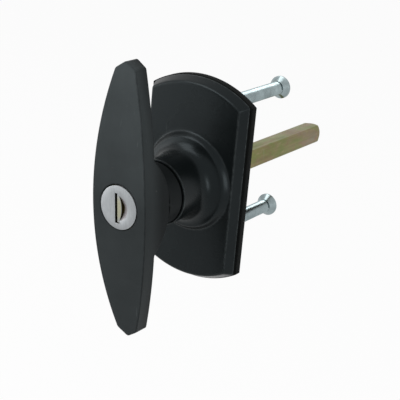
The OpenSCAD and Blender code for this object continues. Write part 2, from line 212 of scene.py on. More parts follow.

# The handle's coat has painted light towards its top and painted shade behind the bar, where it is darker
LIT_TOP_LEVELS = (0.0, 50.0 * MM)
LIT_TOP_TONES = (0.86, 1.55)
SHADED_LEVELS = (-46.0 * MM, -40.0 * MM)
SHADED_TONE = 0.35

# Rubber and nylon
RUBBER_GRAIN = {"Scale": 3200.0, "Swell": 500.0}
RUBBER_MARKS = {"Specks": 0.5, "Scratches": 0.25}
RUBBER_CLOUD = 1.7
RUBBER_DUST = (0.12, 0.12, 0.11)
RUBBER_SCRATCH = (0.05, 0.05, 0.05)
RUBBER_ROUGH = (0.62, 0.78)
RUBBER_RELIEF = 0.35
RUBBER_GLOSS = 0.06
NYLON_GRAIN = {"Scale": 1800.0, "Swell": 300.0}
NYLON_TONES = ((0.018, 0.019, 0.019), (0.03, 0.031, 0.031))
NYLON_ROUGH = (0.4, 0.55)
NYLON_RELIEF = 0.2
SKIN_DEPTH = 0.1 * MM

# Worked metals: the two tints as parts of the main colour, roughness, stretch of the lines, relief
FACE_STEEL = {"tints": (1.0, 0.9), "rough": 0.52, "stretch": (3500.0, 500.0, 260.0), "relief": 0.12}
PLUG_BRASS = {
    "tints": (1.0, (0.85, 0.82, 0.75)),
    "rough": 0.36,
    "stretch": (2500.0, 300.0, 2500.0),
    "relief": 0.1,
}
BRIGHT_ZINC = {"tints": (1.25, 0.62), "rough": 0.24, "stretch": (900.0, 700.0, 900.0), "relief": 0.1}
PLAIN_STEEL = {
    "tints": (1.0, (0.7826, 0.7717, 0.7447)),
    "rough": 0.34,
    "stretch": (1800.0, 200.0, 1800.0),
    "relief": 0.12,
}
PLAIN_STEEL_TONE = (0.46, 0.46, 0.47)
METAL_CLOUDS = 150.0
METAL_EDGE = {"Radius": 0.3 * MM, "Amount": 0.35}
METAL_MARKS = {"Specks": 0.2, "Scratches": 0.5}
METAL_LINES = (0.35, 0.7)
METAL_LINE_SHARE = 0.35
METAL_LINE_TONE, METAL_EDGE_TONE, METAL_SCRATCH_TONE = 0.72, 1.35, 0.6
METAL_ROUGH_LINES = (0.3, 0.7)
METAL_DULL = (-0.06, 0.08)
METAL_DEPTH = 0.05 * MM

# Yellow zinc: drawn lines, drifting tints, stains and pale spots, with tints and tones as parts of the gold
ZINC_LINES = {"Stretch": (900.0, 40.0, 900.0), "Cloud Scale": 70.0}
ZINC_EDGE = {"Radius": 0.5 * MM, "Amount": 0.5}
ZINC_MARKS = {"Specks": 0.1, "Scratches": 0.6}
ZINC_LONGWAYS = (1.0, 0.45, 1.0)
ZINC_DRIFT = 150.0
ZINC_BAND = (0.35, 0.65)
ZINC_STOPS = (0.3, 0.52, 0.74)
ZINC_TINTS = (
    (0.66, 0.95, 0.62),
    (0.86, 1.05, 0.8),
    (1.0, 1.0, 1.0),
    (1.1, 0.9, 1.25),
    (0.98, 0.97, 1.5),
)
ZINC_SPOTS = (
    {"scale": 260.0, "noise": MOTTLED, "band": (0.54, 0.68), "share": 0.75, "tint": (1.02, 0.66, 0.95)},
    {"scale": 420.0, "noise": RAGGED, "band": (0.57, 0.7), "share": 0.6, "tint": (1.45, 1.4, 1.75)},
)
ZINC_LINE_BAND = (0.3, 0.75)
ZINC_LINE_SHARE = 0.55
ZINC_LINE_TONE, ZINC_EDGE_TONE = 0.6, 1.3
ZINC_SCRATCH = (0.3, 0.3, 0.27)
ZINC_ROUGH = (0.34, 0.5)
ZINC_RELIEF = 0.25
ZINC_METAL = 0.95

# The lock face's land, its wall with painted shade and dirt, and its scoop with painted shade; rim, edge,
# start and end are distances past the land
LAND_CENTRE = (-10.2 * MM, 0.0, -0.25 * MM)
LAND_R = 11.7 * MM
LAND_SIDE = (-0.7 * MM, -0.45 * MM)
LAND_MIDDLE = -0.4 * MM
LAND_FADE = (2.8 * MM, 5.6 * MM)
LAND_RIM = (-0.2 * MM, 0.05 * MM)
BELOW_FACE = (-50.55 * MM, -50.3 * MM)
SHADE_AND_DIRT_EDGE = (0.1 * MM, 0.45 * MM)
DISH_START = (0.25 * MM, 0.5 * MM)
DISH_END = (3.1 * MM, 3.4 * MM)
# Painted shade with some dirt on the land's wall, and painted shade in the scoop
SHADE_AND_DIRT_TONE = (0.05, 0.043, 0.019)
DISH_SHADE_TONE = (0.25, 0.236, 0.243)
DISH_METAL = 0.25

# Camera, floor and lamps, each lamp with its size and place, in metres
LOOKED_AT = Vector((8.64, -10.0, -5.23)) * MM
SENSOR = 36.0
CAMERA_CLIP = (0.01, 50.0)
FLOOR_SIZE = 6.0
FLOOR_GLOW = 0.95
WHITE = (1.0, 1.0, 1.0, 1.0)
LAMPS = {
    "key": ((0.9, 0.9), (-0.49, -0.69, 0.95)),
    "fill": ((0.45, 0.42), (-0.526, -0.329, 0.01)),
    "strip": ((0.14, 0.5), (1.0, -0.22, 0.1)),
}


def length(name, description, default):
    """A length property, in metres, from a size in millimetres."""
    return FloatProperty(
        name=name,
        description=description,
        default=default * MM,
        min=0.0,
        precision=5,
        subtype="DISTANCE",
        unit="LENGTH",
    )


def colour(name, description, default):
    """A linear colour property."""
    return FloatVectorProperty(
        name=name,
        description=description,
        default=default,
        min=0.0,
        max=1.0,
        size=3,
        subtype="COLOR",
    )


def share(name, description, default):
    """A plain factor from nought to one."""
    return FloatProperty(
        name=name, description=description, default=default, min=0.0, max=1.0, subtype="FACTOR"
    )


def degrees(name, description, default):
    """An angle property, from degrees."""
    return FloatProperty(
        name=name,
        description=description,
        default=math.radians(default),
        subtype="ANGLE",
        unit="ROTATION",
    )


def watts(name, description, default):
    """The power of a lamp."""
    return FloatProperty(name=name, description=description, default=default, min=0.0, unit="POWER")


class HandleSettings(bpy.types.PropertyGroup):
    """Sizes of the T handle, as in the part's source, and of its rounded edges."""

    lean: degrees("Lean", "Turn of the handle from upright at rest", 4.6)
    bar_length: length("Bar length", "Length of the T bar from tip to tip", 110.2)
    bar_width: length("Bar width", "Width of the bar at its middle", 25.8)
    end_width: length("End width", "Width of the bar where its pointed ends begin", 9.6)
    end_rise: length("End rise", "Rise of a pointed end past that line", 3.0)
    bar_thick: length("Bar thickness", "Thickness of the bar", 6.4)
    bar_bow: length("Bow", "How far the bar's ends lie back from its middle", 4.3)
    reach: length("Reach", "From the door's face to the front of the bar", 50.5)
    hub_r: length("Hub radius", "Radius of the swelling behind the bar", 27.2)
    hub_depth: length("Hub depth", "Depth of the swelling behind the bar's front", 18.1)
    hub_fillet: length("Hub fillet", "Blend between the swelling and the bar's back", 1.6)
    neck_r: length("Neck radius", "Radius of the neck behind the hub", 12.6)
    neck_back: length("Neck back", "Level of the neck's back face", 27.7)
    neck_edge: length("Neck edge", "Rounding of the neck's back edge", 0.2)
    neck_fillet: length("Neck fillet", "Fillet where the neck leaves the hub", 0.6)
    journal_r: length("Journal radius", "Radius of the journal that turns in the rose", 9.0)
    tail_out: length("Tail", "Length of the journal behind the door's face", 8.0)
    bore_r: length("Lock bore", "Radius of the bore for the lock", 9.0)
    lock_floor: length("Lock floor", "Level of the bore's floor", 29.1)
    front_edge: length("Front edge", "Rounding of the bar's front edge", 0.3)
    back_edge: length("Back edge", "Rounding of the bar's back edge", 0.35)
    corner: length("Corner", "Length of the rounding of the bar's corners", 0.7)
    tip: length("Tip", "Length of the rounding of the bar's tips", 1.0)
    hole_edge: length("Hole edge", "Rounding of the lock bore's rim", 0.3)
    coat: colour("Coat", "Colour of the satin powder coat", (0.0365, 0.0425, 0.044))
    # Painted shade: this colour on the rubbed-edge mask is darker than the coat and paints a dark line along
    # the bar's edges
    wear_and_painted_edge: colour("Edge colour", "Dark primer that shows at the bar's rubbed edges", (0.008, 0.0095, 0.0095))


class RoseSettings(bpy.types.PropertyGroup):
    """Sizes of the rose and gasket, as in the part's source, and of their rounded edges."""

    rose_r: length("Rose radius", "Radius of the rose at its back", 42.9)
    half_width: length("Half width", "Half the rose's width across its flats at its back", 23.7)
    draft: length("Draft", "Draft of the plate's edge from back to front", 2.2)
    back: length("Back level", "Level of the plate's back", 2.9)
    top: length("Top level", "Level of the plate's top", 7.5)
    corner: length("Corner", "Length of the rounding of a corner in plan", 0.8)
    edge: length("Front edge", "Rounding of the plate's front edge along its flats", 0.35)
    end_edge: length("End edge", "Rounding of the plate's front edge at its round ends", 1.3)
    boss_r: length("Boss radius", "Radius of the boss round the journal", 13.3)
    boss_top: length("Boss top", "Level of the boss's top", 27.0)
    boss_edge: length("Boss edge", "Rounding of the boss's top edge", 0.25)
    cove: length("Cove", "Width of the hollow curve from the boss to the bead's crest", 5.1)
    bead: length("Bead", "Share of the bead's height and width above its foot", 1.9)
    foot: length("Foot", "Share of the bead's height and width in its foot", 0.7)
    bush_r: length("Bush seat", "Radius of the seat for the neck bush", 10.2)
    bush_back: length("Bush back", "Level of that seat's shoulder", 15.7)
    shaft_r: length("Shaft bore", "Radius of the bore round the journal", 9.3)
    recess_r: length("Recess radius", "Radius of the recess at the back", 13.1)
    recess_top: length("Recess top", "Level of the recess's floor", 6.8)
    screw_pitch: length("Screw pitch", "Distance between the two screws", 56.0)
    tap_r: length("Tapped hole", "Radius of a screw's hole in the rose", 2.5)
    gasket_edge: length("Gasket edge", "Rounding of the gasket's edges", 0.12)
    coat: colour("Coat", "Colour of the gloss coat", (0.0062, 0.0082, 0.0086))
    # Wear and a painted highlight: this colour on the rubbed-edge mask is lighter than the coat and paints a
    # light line along the plate's edges
    wear_and_painted_edge: colour("Worn edge", "Colour of the coat where its edges are rubbed", (0.085, 0.096, 0.098))
    rubber: colour("Rubber", "Colour of the gasket", (0.004, 0.0046, 0.0044))


class MetalSettings(bpy.types.PropertyGroup):
    """Sizes and finishes of the screws, springs, spindle and lock."""

    screw_r: length("Screw radius", "Radius over the screw's thread", 3.0)
    root_r: length("Root radius", "Radius at the root of the thread", 2.46)
    pitch: length("Thread pitch", "Rise of the thread in one turn", 1.0)
    screw_end: length("Screw end", "How far a screw reaches into the rose", 6.3)
    screw_out: length("Screw length", "Length of a screw behind the door's face", 56.9)
    head_r: length("Head radius", "Radius of a screw's head", 5.0)
    head_rim: length("Head rim", "Height of the straight rim of a screw's head", 0.7)
    socket_r: length("Socket radius", "Radius over the corners of the hexagon socket", 2.309)
    socket_depth: length("Socket depth", "Depth of the hexagon socket in a screw's head", 2.0)
    thread_steps: IntProperty(
        name="Thread steps", description="Steps in one turn of a thread", default=28, min=8
    )
    spring_r: length("Spring radius", "Outer radius of a wafer spring", 0.55)
    spring_wire: length("Spring wire", "Radius of a wafer spring's wire", 0.1)
    spring_length: length("Spring length", "Length of a wafer spring", 4.4)
    spring_turns: FloatProperty(
        name="Spring turns", description="Turns of wire in a wafer spring", default=8.0, min=1.0
    )
    spindle_edge: length("Spindle edge", "Rounding of the spindle's edges", 0.55)
    face_edge: length("Face edge", "Rounding of the lock face's edges", 0.14)
    steel: colour("Lock face", "Colour of the satin steel lock face", (0.335, 0.352, 0.364))
    land: colour("Rubbed land", "Colour of the rubbed land beside the keyway", (0.345, 0.34, 0.25))
    brass: colour("Plug brass", "Colour of the brass plug", (0.16, 0.135, 0.075))
    gold: colour("Yellow zinc", "Main colour of the yellow passivation", (0.225, 0.2, 0.088))
    zinc: colour("Bright zinc", "Colour of the bright zinc plating", (0.27, 0.325, 0.335))


class StageSettings(bpy.types.PropertyGroup):
    """Camera, light and floor."""

    azimuth: degrees("Azimuth", "Turn of the camera to the right of the handle's front", 34.85)
    elevation: degrees("Elevation", "Height of the camera above the level", 21.6)
    roll: degrees("Roll", "Turn of the camera about its own line of sight", 5.03)
    distance: length("Distance", "From the camera to the point it looks at", 428.95)
    lens: FloatProperty(
        name="Lens", description="Focal length on the sensor", default=96.135, unit="CAMERA"
    )
    floor_drop: length("Floor", "How far the floor lies below the spindle", 230.0)
    world: share("World light", "Strength of the even light from all round", 0.23)
    key: watts("Key light", "Power of the large light at the upper left", 9.9)
    fill: watts("Fill light", "Power of the light at the left", 1.2)
    strip: watts("Strip light", "Power of the narrow light at the right", 2.3)
    pale: colour("Floor colour", "Colour of the floor", (0.93, 0.93, 0.93))


def handle_settings():
    return bpy.context.scene.handle_settings


def rose_settings():
    return bpy.context.scene.rose_settings


def metal_settings():
    return bpy.context.scene.metal_settings


def stage_settings():
    return bpy.context.scene.stage_settings


# Places: points are worked out with x to the right, y up and z out of the door towards the hand


def on_door(points):
    """The points in the frame's axes."""
    x, y, z = np.asarray(points, float).T
    return np.stack([x, -z, y], axis=1)


def on_handle(points):
    """The points in the frame's axes, turned with the leaning handle."""
    x, y, z = np.asarray(points, float).T
    c, s = math.cos(handle_settings().lean), math.sin(handle_settings().lean)
    return np.stack([x * c - y * s, -z, x * s + y * c], axis=1)


# Meshes


def new_object(name, mesh):
    piece = bpy.data.objects.new(name, mesh)
    bpy.context.scene.collection.objects.link(piece)
    return piece


def mesh_from(name, points, faces):
    """A mesh from points and faces."""
    mesh = bpy.data.meshes.new(name)
    mesh.from_pydata([tuple(p) for p in points], [], faces)
    return mesh


def face_outwards(mesh):
    """Merges doubles and points the faces of a closed mesh outwards."""
    bm = bmesh.new()
    bm.from_mesh(mesh)
    bmesh.ops.remove_doubles(bm, verts=bm.verts, dist=MERGE)
    bmesh.ops.recalc_face_normals(bm, faces=bm.faces)
    bm.to_mesh(mesh)
    bm.free()


def shade(mesh, angle=CREASE_ANGLE):
    """Smooths a mesh, and keeps edges sharp that bend past an angle."""
    mesh.shade_smooth()
    mesh.set_sharp_from_angle(angle=angle)


def skin(name, rings, place, ring_shaped):
    """A closed skin over rings of points. Its ends are capped unless it closes on itself."""
    count = len(rings[0])
    points = np.concatenate(rings)
    faces = []
    pairs = list(zip(range(len(rings) - 1), range(1, len(rings))))
    if ring_shaped:
        pairs.append((len(rings) - 1, 0))
    for low, high in pairs:
        for i in range(count):
            j = (i + 1) % count
            faces.append((low * count + i, low * count + j, high * count + j, high * count + i))
    if not ring_shaped:
        ends = np.stack([rings[0].mean(axis=0), rings[-1].mean(axis=0)])
        for end, start in ((0, 0), (1, (len(rings) - 1) * count)):
            centre = len(points) + end
            faces += [(start + i, start + (i + 1) % count, centre) for i in range(count)]
        points = np.concatenate([points, ends])
    mesh = mesh_from(name, place(points), faces)
    face_outwards(mesh)
    return mesh


def prism(name, outline, low, high, place):
    """A straight block with that outline, from one level to another."""
    rings = [np.column_stack([outline, np.full(len(outline), z)]) for z in (low, high)]
    return skin(name, rings, place, False)


def arc(centre, radius, start, end, count):
    """Points along an arc, with both ends."""
    angles = np.linspace(start, end, count)
    return np.stack([centre[0] + radius * np.cos(angles), centre[1] + radius * np.sin(angles)], axis=1)


def circle(radius, count, centre=(0.0, 0.0)):
    """Points round a circle."""
    return arc(centre, radius, 0, 2 * math.pi, count + 1)[:-1]


def box_outline(x0, x1, y0, y1):
    return np.array([(x0, y0), (x1, y0), (x1, y1), (x0, y1)])


def fan(radius, start, end, inner=0.0):
    """A wedge of a ring, from one angle to another in degrees."""
    angles = (math.radians(start), math.radians(end))
    outer = arc((0, 0), radius, *angles, WEDGE_POINTS)
    if not inner:
        return np.vstack([outer, [(0.0, 0.0)]])
    return np.vstack([outer, arc((0, 0), inner, *angles[::-1], WEDGE_POINTS)])


def cut_away(piece, cutters):
    """Takes each block out of the piece."""
    blocks = []
    for number, block in enumerate(cutters):
        blocks.append(new_object(f"cutter_{number}", block))
        cut = piece.modifiers.new(block.name, "BOOLEAN")
        cut.operation = "DIFFERENCE"
        cut.solver = "MANIFOLD"
        cut.object = blocks[-1]
    flatten(piece)
    for block in blocks:
        mesh = block.data
        bpy.data.objects.remove(block)
        bpy.data.meshes.remove(mesh)


def flatten(piece):
    """Turns what the modifiers make into the piece's own plain mesh."""
    graph = bpy.context.evaluated_depsgraph_get()
    made = bpy.data.meshes.new_from_object(piece.evaluated_get(graph))
    if not len(made.polygons):
        raise RuntimeError(f"{piece.name} came out empty")
    old = piece.data
    made.name = piece.name
    piece.modifiers.clear()
    piece.data = made
    bpy.data.meshes.remove(old)


def eased_copy(node, name, width, segments=EDGE_SEGMENTS):
    """A copy of a solid's mesh with its sharp edges rounded."""
    mesh = frame["nodes"][node].data.copy()
    mesh.name = name
    bm = bmesh.new()
    bm.from_mesh(mesh)
    bmesh.ops.remove_doubles(bm, verts=bm.verts, dist=SOLID_MERGE)
    bmesh.ops.dissolve_limit(bm, angle_limit=FLAT_ANGLE, verts=bm.verts, edges=bm.edges)
    edges = [e for e in bm.edges if e.is_manifold and e.calc_face_angle() > SHARP_ANGLE]
    bmesh.ops.bevel(
        bm,
        geom=edges,
        offset=width,
        segments=segments,
        profile=ROUND_PROFILE,
        affect="EDGES",
        clamp_overlap=True,
    )
    bmesh.ops.triangulate(bm, faces=[f for f in bm.faces if len(f.verts) > 4])
    bm.to_mesh(mesh)
    bm.free()
    shade(mesh)
    mesh.materials.clear()
    return new_object(name, mesh)


def settle(piece, body, slot, material, *nodes):
    """Gives a finished piece its material and its body, and hides the solids it stands for. The slot is not
    used.
    """
    piece.data.materials.clear()
    piece.data.materials.append(material)
    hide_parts(*nodes)
    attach(piece, body)


# The T handle's skin


def bend(start, knee, end, steps):
    """Points of a smooth turn from one point to another round a knee, without the two ends."""
    t = np.asarray(steps)[:, None]
    return (1 - t) ** 2 * start + 2 * t * (1 - t) * knee + t**2 * end


def all_round(quarter):
    """The whole outline from the quarter between the middle of its right side and its top."""
    left = quarter[::-1] * (-1, 1)
    right = quarter[::-1] * (1, -1)
    return np.vstack([quarter[:-1], left[:-1], -quarter[:-1], right[:-1]])


def inward(loop):
    """Unit normals of a closed line, pointing inwards."""
    run = np.roll(loop, -1, axis=0) - np.roll(loop, 1, axis=0)
    run /= np.hypot(*run.T)[:, None]
    return np.stack([-run[:, 1], run[:, 0]], axis=1)


def bar_outline(h):
    """Two long arcs closed by shallow points, with eased corners."""
    half = h.bar_length / 2
    chord = half - h.end_rise
    drop = (h.bar_width - h.end_width) / 2
    side_r = (chord**2 + drop**2) / (2 * drop)
    side = math.asin(chord / side_r)
    knee, peak = np.array([h.end_width / 2, chord]), np.array([0.0, half])
    run = (peak - knee) / np.hypot(*(peak - knee))
    side_points = QUARTER - BAR_TURN - BAR_SLOPE - BAR_TIP
    long_side = arc((h.bar_width / 2 - side_r, 0), side_r, 0, side - h.corner / side_r, side_points)
    slope = np.linspace(knee + run * h.corner, peak - run * h.tip, BAR_SLOPE)
    turn = bend(long_side[-1], knee, slope[0], np.linspace(0, 1, BAR_TURN + 2)[1:-1])
    tip = bend(slope[-1], peak, slope[-1] * (-1, 1), np.linspace(0, 0.5, BAR_TIP + 1)[1:])
    return all_round(np.vstack([long_side, turn, slope, tip]))


def rounding(steps=ROUND_STEPS):
    """Angles from the start to the end of a quarter round."""
    return np.linspace(0, math.pi / 2, steps)


def ring(flat, level):
    """A ring of points from a flat outline and its level, or a level for each point."""
    return np.column_stack([flat, np.broadcast_to(level, len(flat))])


def handle_rings(h):
    """Rings round the handle's axis, from the lock bore's floor out over the bar and back to the tail."""
    loop = bar_outline(h)
    normal = inward(loop)
    turn = circle(1.0, POINTS)
    chord = h.bar_length / 2 - h.end_rise
    bow_r = (chord**2 + h.bar_bow**2) / (2 * h.bar_bow)
    ball = h.reach - h.hub_depth + h.hub_r

    def front(flat):
        """Level of the bar's bowed front over points of the plan."""
        return h.reach - bow_r + np.sqrt(bow_r**2 - flat[:, 1] ** 2)

    def back(flat):
        """Level of the bar's back and the hub's swelling, blended where they meet."""
        bar = h.reach - bow_r + np.sqrt((bow_r - h.bar_thick) ** 2 - flat[:, 1] ** 2)
        hub = ball - np.sqrt(np.maximum(h.hub_r**2 - (flat**2).sum(axis=1), 0))
        blend = np.clip(0.5 + 0.5 * (bar - hub) / h.hub_fillet, 0, 1)
        return bar + (hub - bar) * blend - h.hub_fillet * blend * (1 - blend) / 2

    rings = [ring(turn * h.bore_r, h.lock_floor)]
    rim = turn * h.bore_r
    rings.append(ring(rim, front(rim) - HOLE_WALL * h.hole_edge))
    for angle in rounding(HOLE_STEPS):
        flat = turn * (h.bore_r + h.hole_edge * (1 - math.cos(angle)))
        rings.append(ring(flat, front(flat) - h.hole_edge * (1 - math.sin(angle))))
    inner = turn * (h.bore_r + HOLE_CLEAR * h.hole_edge)
    outer = loop + normal * h.front_edge * CLEAR
    for t in np.linspace(0, 1, FRONT_RINGS):
        flat = inner + (outer - inner) * t
        rings.append(ring(flat, front(flat)))
    for angle in rounding():
        flat = loop + normal * h.front_edge * (1 - math.sin(angle))
        rings.append(ring(flat, front(flat) - h.front_edge * (1 - math.cos(angle))))

    neck = turn * h.neck_r
    gap = np.hypot(*(loop - neck).T)
    edge = np.minimum(h.back_edge, GAP_SHARE * gap)
    fillet = np.minimum(h.neck_fillet, GAP_SHARE * gap)
    high = front(loop) - CLEAR * h.front_edge
    low = back(loop) + CLEAR * edge
    for t in np.linspace(0, 1, WALL_RINGS):
        rings.append(ring(loop, high + (low - high) * t))
    for angle in rounding():
        flat = loop + normal * (edge * (1 - math.cos(angle)))[:, None]
        rings.append(ring(flat, back(flat) + edge * (1 - math.sin(angle))))
    outer = loop + normal * edge[:, None]
    inner = turn * (h.neck_r + fillet)[:, None]
    for t in np.linspace(0, 1, BACK_RINGS)[1:]:
        flat = outer + (inner - outer) * t
        rings.append(ring(flat, back(flat)))
    foot = back(inner)
    for angle in rounding()[1:]:
        flat = turn * (h.neck_r + fillet * (1 - math.sin(angle)))[:, None]
        rings.append(ring(flat, foot - fillet * (1 - math.cos(angle))))

    high = foot - fillet
    low = h.neck_back + CLEAR * h.neck_edge
    for t in np.linspace(0, 1, NECK_RINGS)[1:]:
        rings.append(ring(neck, high + (low - high) * t))
    for angle in rounding():
        flat = turn * (h.neck_r - h.neck_edge * (1 - math.cos(angle)))
        rings.append(ring(flat, h.neck_back + h.neck_edge * (1 - math.sin(angle))))
    for radius, level in journal_profile(h):
        rings.append(ring(turn * radius, level))
    square = turn / np.abs(turn).max(axis=1)[:, None] * SPINDLE_HOLE
    rings += [ring(square, -h.tail_out), ring(square, SPINDLE_FLOOR)]
    return rings


def journal_profile(h):
    """Radius and level down the journal, with its two grooves and the eased end of its tail."""
    rows = [(h.journal_r, h.neck_back)]
    for low, high, radius in (RING_GROOVE, CLIP_GROOVE):
        rows += [(h.journal_r, high), (radius, high), (radius, low), (h.journal_r, low)]
    rows += [(h.journal_r, TAIL_EDGE - h.tail_out), (h.journal_r - TAIL_EDGE, -h.tail_out)]
    return rows


def handle_rooms():
    """What is taken out of the handle: the bolt's room, the tail's bore and the pin holes."""

    def across(points):
        """Lays a block across the journal's tail."""
        return on_handle(points[:, [0, 2, 1]] + (0, 0, PIN_LEVEL))

    def from_side(points):
        """Lays a block into the bar from its left side."""
        return on_handle(points[:, [2, 1, 0]] + (0, 0, SIDE_LEVEL))

    return [
        prism("bolt_room", box_outline(*BOLT_ROOM), *BOLT_LEVELS, on_handle),
        prism("nose_window", box_outline(*NOSE_WINDOW), *BOLT_LEVELS, on_handle),
        prism("tail_bore", circle(TAIL_BORE_R, BORE_POINTS), *TAIL_LEVELS, on_handle),
        prism("stop_hole", circle(STOP_HOLE_R, PIN_POINTS, STOP_PLACE), *STOP_LEVELS, on_handle),
        prism("pin_hole", circle(PIN_HOLE_R, HOLE_POINTS), *PIN_SPAN, across),
        prism("side_hole", circle(SIDE_HOLE_R, PIN_POINTS), *SIDE_SPAN, from_side),
    ]


# The rose's skin


def rose_quarter(radius, half_width, corner):
    """A quarter of the rose's outline, from the middle of its right flat to its top."""
    rise = math.sqrt(radius**2 - half_width**2)
    start = math.atan2(rise, half_width)
    past = corner / radius
    flat_points = QUARTER - ROSE_TURN - ROSE_TOP
    flat = np.linspace((half_width, 0), (half_width, rise - corner), flat_points)
    top = arc((0, 0), radius, start + past, math.pi / 2, ROSE_TOP)
    knee = np.array([half_width, rise])
    turn = bend(flat[-1], knee, top[0], np.linspace(0, 1, ROSE_TURN + 2)[1:-1])
    return np.vstack([flat, turn, top])


def boss_profile(r):
    """Radius and level down the boss: bush seat, top, wall, cove, and the bead's fall to the plate."""
    high = r.bead + r.foot
    crest_r, crest_z = r.boss_r + r.cove, r.top + high
    first = math.pi * CREST**SKEW
    tilt = math.atan(first * SKEW / CREST * (1 - CREST) * math.sin(first) / (1 + math.cos(first)))
    cove = r.cove / (1 - math.sin(tilt))
    rows = [(r.bush_r, r.bush_back), (r.bush_r, r.boss_top - LIP), (r.bush_r + LIP, r.boss_top)]
    rows.append((r.boss_r - BOSS_CLEAR * r.boss_edge, r.boss_top))
    for angle in rounding():
        inside, below = 1 - math.sin(angle), 1 - math.cos(angle)
        rows.append((r.boss_r - r.boss_edge * inside, r.boss_top - r.boss_edge * below))
    wall = (r.boss_top - BOSS_CLEAR * r.boss_edge, crest_z + cove * math.cos(tilt))
    rows += [(r.boss_r, level) for level in np.linspace(*wall, BOSS_RINGS)]
    for slope in np.linspace(math.pi / 2, tilt, COVE_RINGS)[1:]:
        inside, above = math.sin(slope) - math.sin(tilt), math.cos(tilt) - math.cos(slope)
        rows.append((crest_r - cove * inside, crest_z + cove * above))
    for phase in np.linspace(CREST, 1, BEAD_RINGS)[1:]:
        fall = (1 + math.cos(math.pi * phase**SKEW)) / (1 + math.cos(first))
        rows.append((crest_r + high * (phase - CREST) / (1 - CREST), r.top + high * fall))
    return rows


def rose_rings(r):
    """Rings round the rose's axis, from the bush seat over the boss and plate and back through the recess."""
    plan = all_round(rose_quarter(r.rose_r - r.draft, r.half_width - r.draft, r.corner))
    base = all_round(rose_quarter(r.rose_r, r.half_width, r.corner))
    turn = plan / np.hypot(*plan.T)[:, None]
    normal = inward(plan)
    rings = [ring(turn * radius, level) for radius, level in boss_profile(r)]

    fall = r.top - r.back
    steep = math.pi / 2 - math.atan2(r.draft, fall)
    at_end = np.clip((np.abs(plan[:, 1]) / r.rose_r - END_START) / END_SPAN, 0, 1)
    edge = r.edge + (r.end_edge - r.edge) * at_end
    inset = edge * math.tan(steep / 2)
    start = turn * (r.boss_r + r.cove + r.bead + r.foot)
    rim = plan + normal * (inset * RIM_CLEAR)[:, None]
    for t in np.linspace(0, 1, PLATE_RINGS)[1:]:
        rings.append(ring(start + (rim - start) * t, r.top))
    for angle in np.linspace(0, steep, ROUND_STEPS):
        flat = plan + normal * (inset - edge * math.sin(angle))[:, None]
        rings.append(ring(flat, r.top - edge * (1 - math.cos(angle))))
    high = r.top - DRAFT_CLEAR * edge
    for t in np.linspace(0, 1, DRAFT_RINGS):
        level = high + (r.back + LIP - high) * t
        rings.append(ring(plan + (base - plan) * ((r.top - level) / fall)[:, None], level))
    last = plan + (base - plan) * (1 - LIP / fall)
    for step in (LIP, LIP_CLEAR * LIP):
        rings.append(ring(last + inward(last) * step, r.back))
    for radius, level in (
        (r.recess_r + LIP, r.back),
        (r.recess_r, r.back + LIP),
        (r.recess_r, r.recess_top),
        (r.shaft_r, r.recess_top),
        (r.shaft_r, r.bush_back),
    ):
        rings.append(ring(turn * radius, level))
    return rings


def rose_rooms(r):
    """What is taken out of the rose: the bolt's notches, the stop pin's groove and the tapped holes."""
    rooms = []
    for turn in NOTCH_TURNS:
        notch = fan(NOTCH_R, turn - NOTCH_HALF, turn + NOTCH_HALF)
        rooms.append(prism(f"notch_{turn}", notch, *NOTCH_LEVELS, on_door))
    groove = fan(GROOVE_R, *GROOVE_SPAN, GROOVE_INNER)
    rooms.append(prism("stop_groove", groove, r.boss_top - GROOVE_DEPTH, r.boss_top + OVERCUT, on_door))
    for side in (-1, 1):
        hole = circle(r.tap_r, HOLE_POINTS, (0, side * r.screw_pitch / 2))
        rooms.append(prism("tapped_hole", hole, r.back - OVERCUT, r.back + TAP_DEPTH, on_door))
    return rooms


# Nodes


def link(tree, value, socket):
    """Feeds a socket from another socket, a node's first output or a plain value."""
    if isinstance(value, bpy.types.NodeSocket):
        tree.links.new(value, socket)
    elif isinstance(value, bpy.types.Node):
        tree.links.new(value.outputs[0], socket)
    else:
        socket.default_value = value


def put(tree, kind, settings=(), inputs=()):
    """A node with its settings and inputs; an input is named by its name or its place."""
    made = tree.nodes.new(kind)
    for name, value in dict(settings).items():
        setattr(made, name, value)
    for name, value in dict(inputs).items():
        link(tree, value, made.inputs[name])
    return made


def sums(tree, operation, first, second, clamp=False):
    """Two values or masks put together by the named operation."""
    return put(tree, "ShaderNodeMath", {"operation": operation, "use_clamp": clamp}, {0: first, 1: second})


# Geometry Nodes


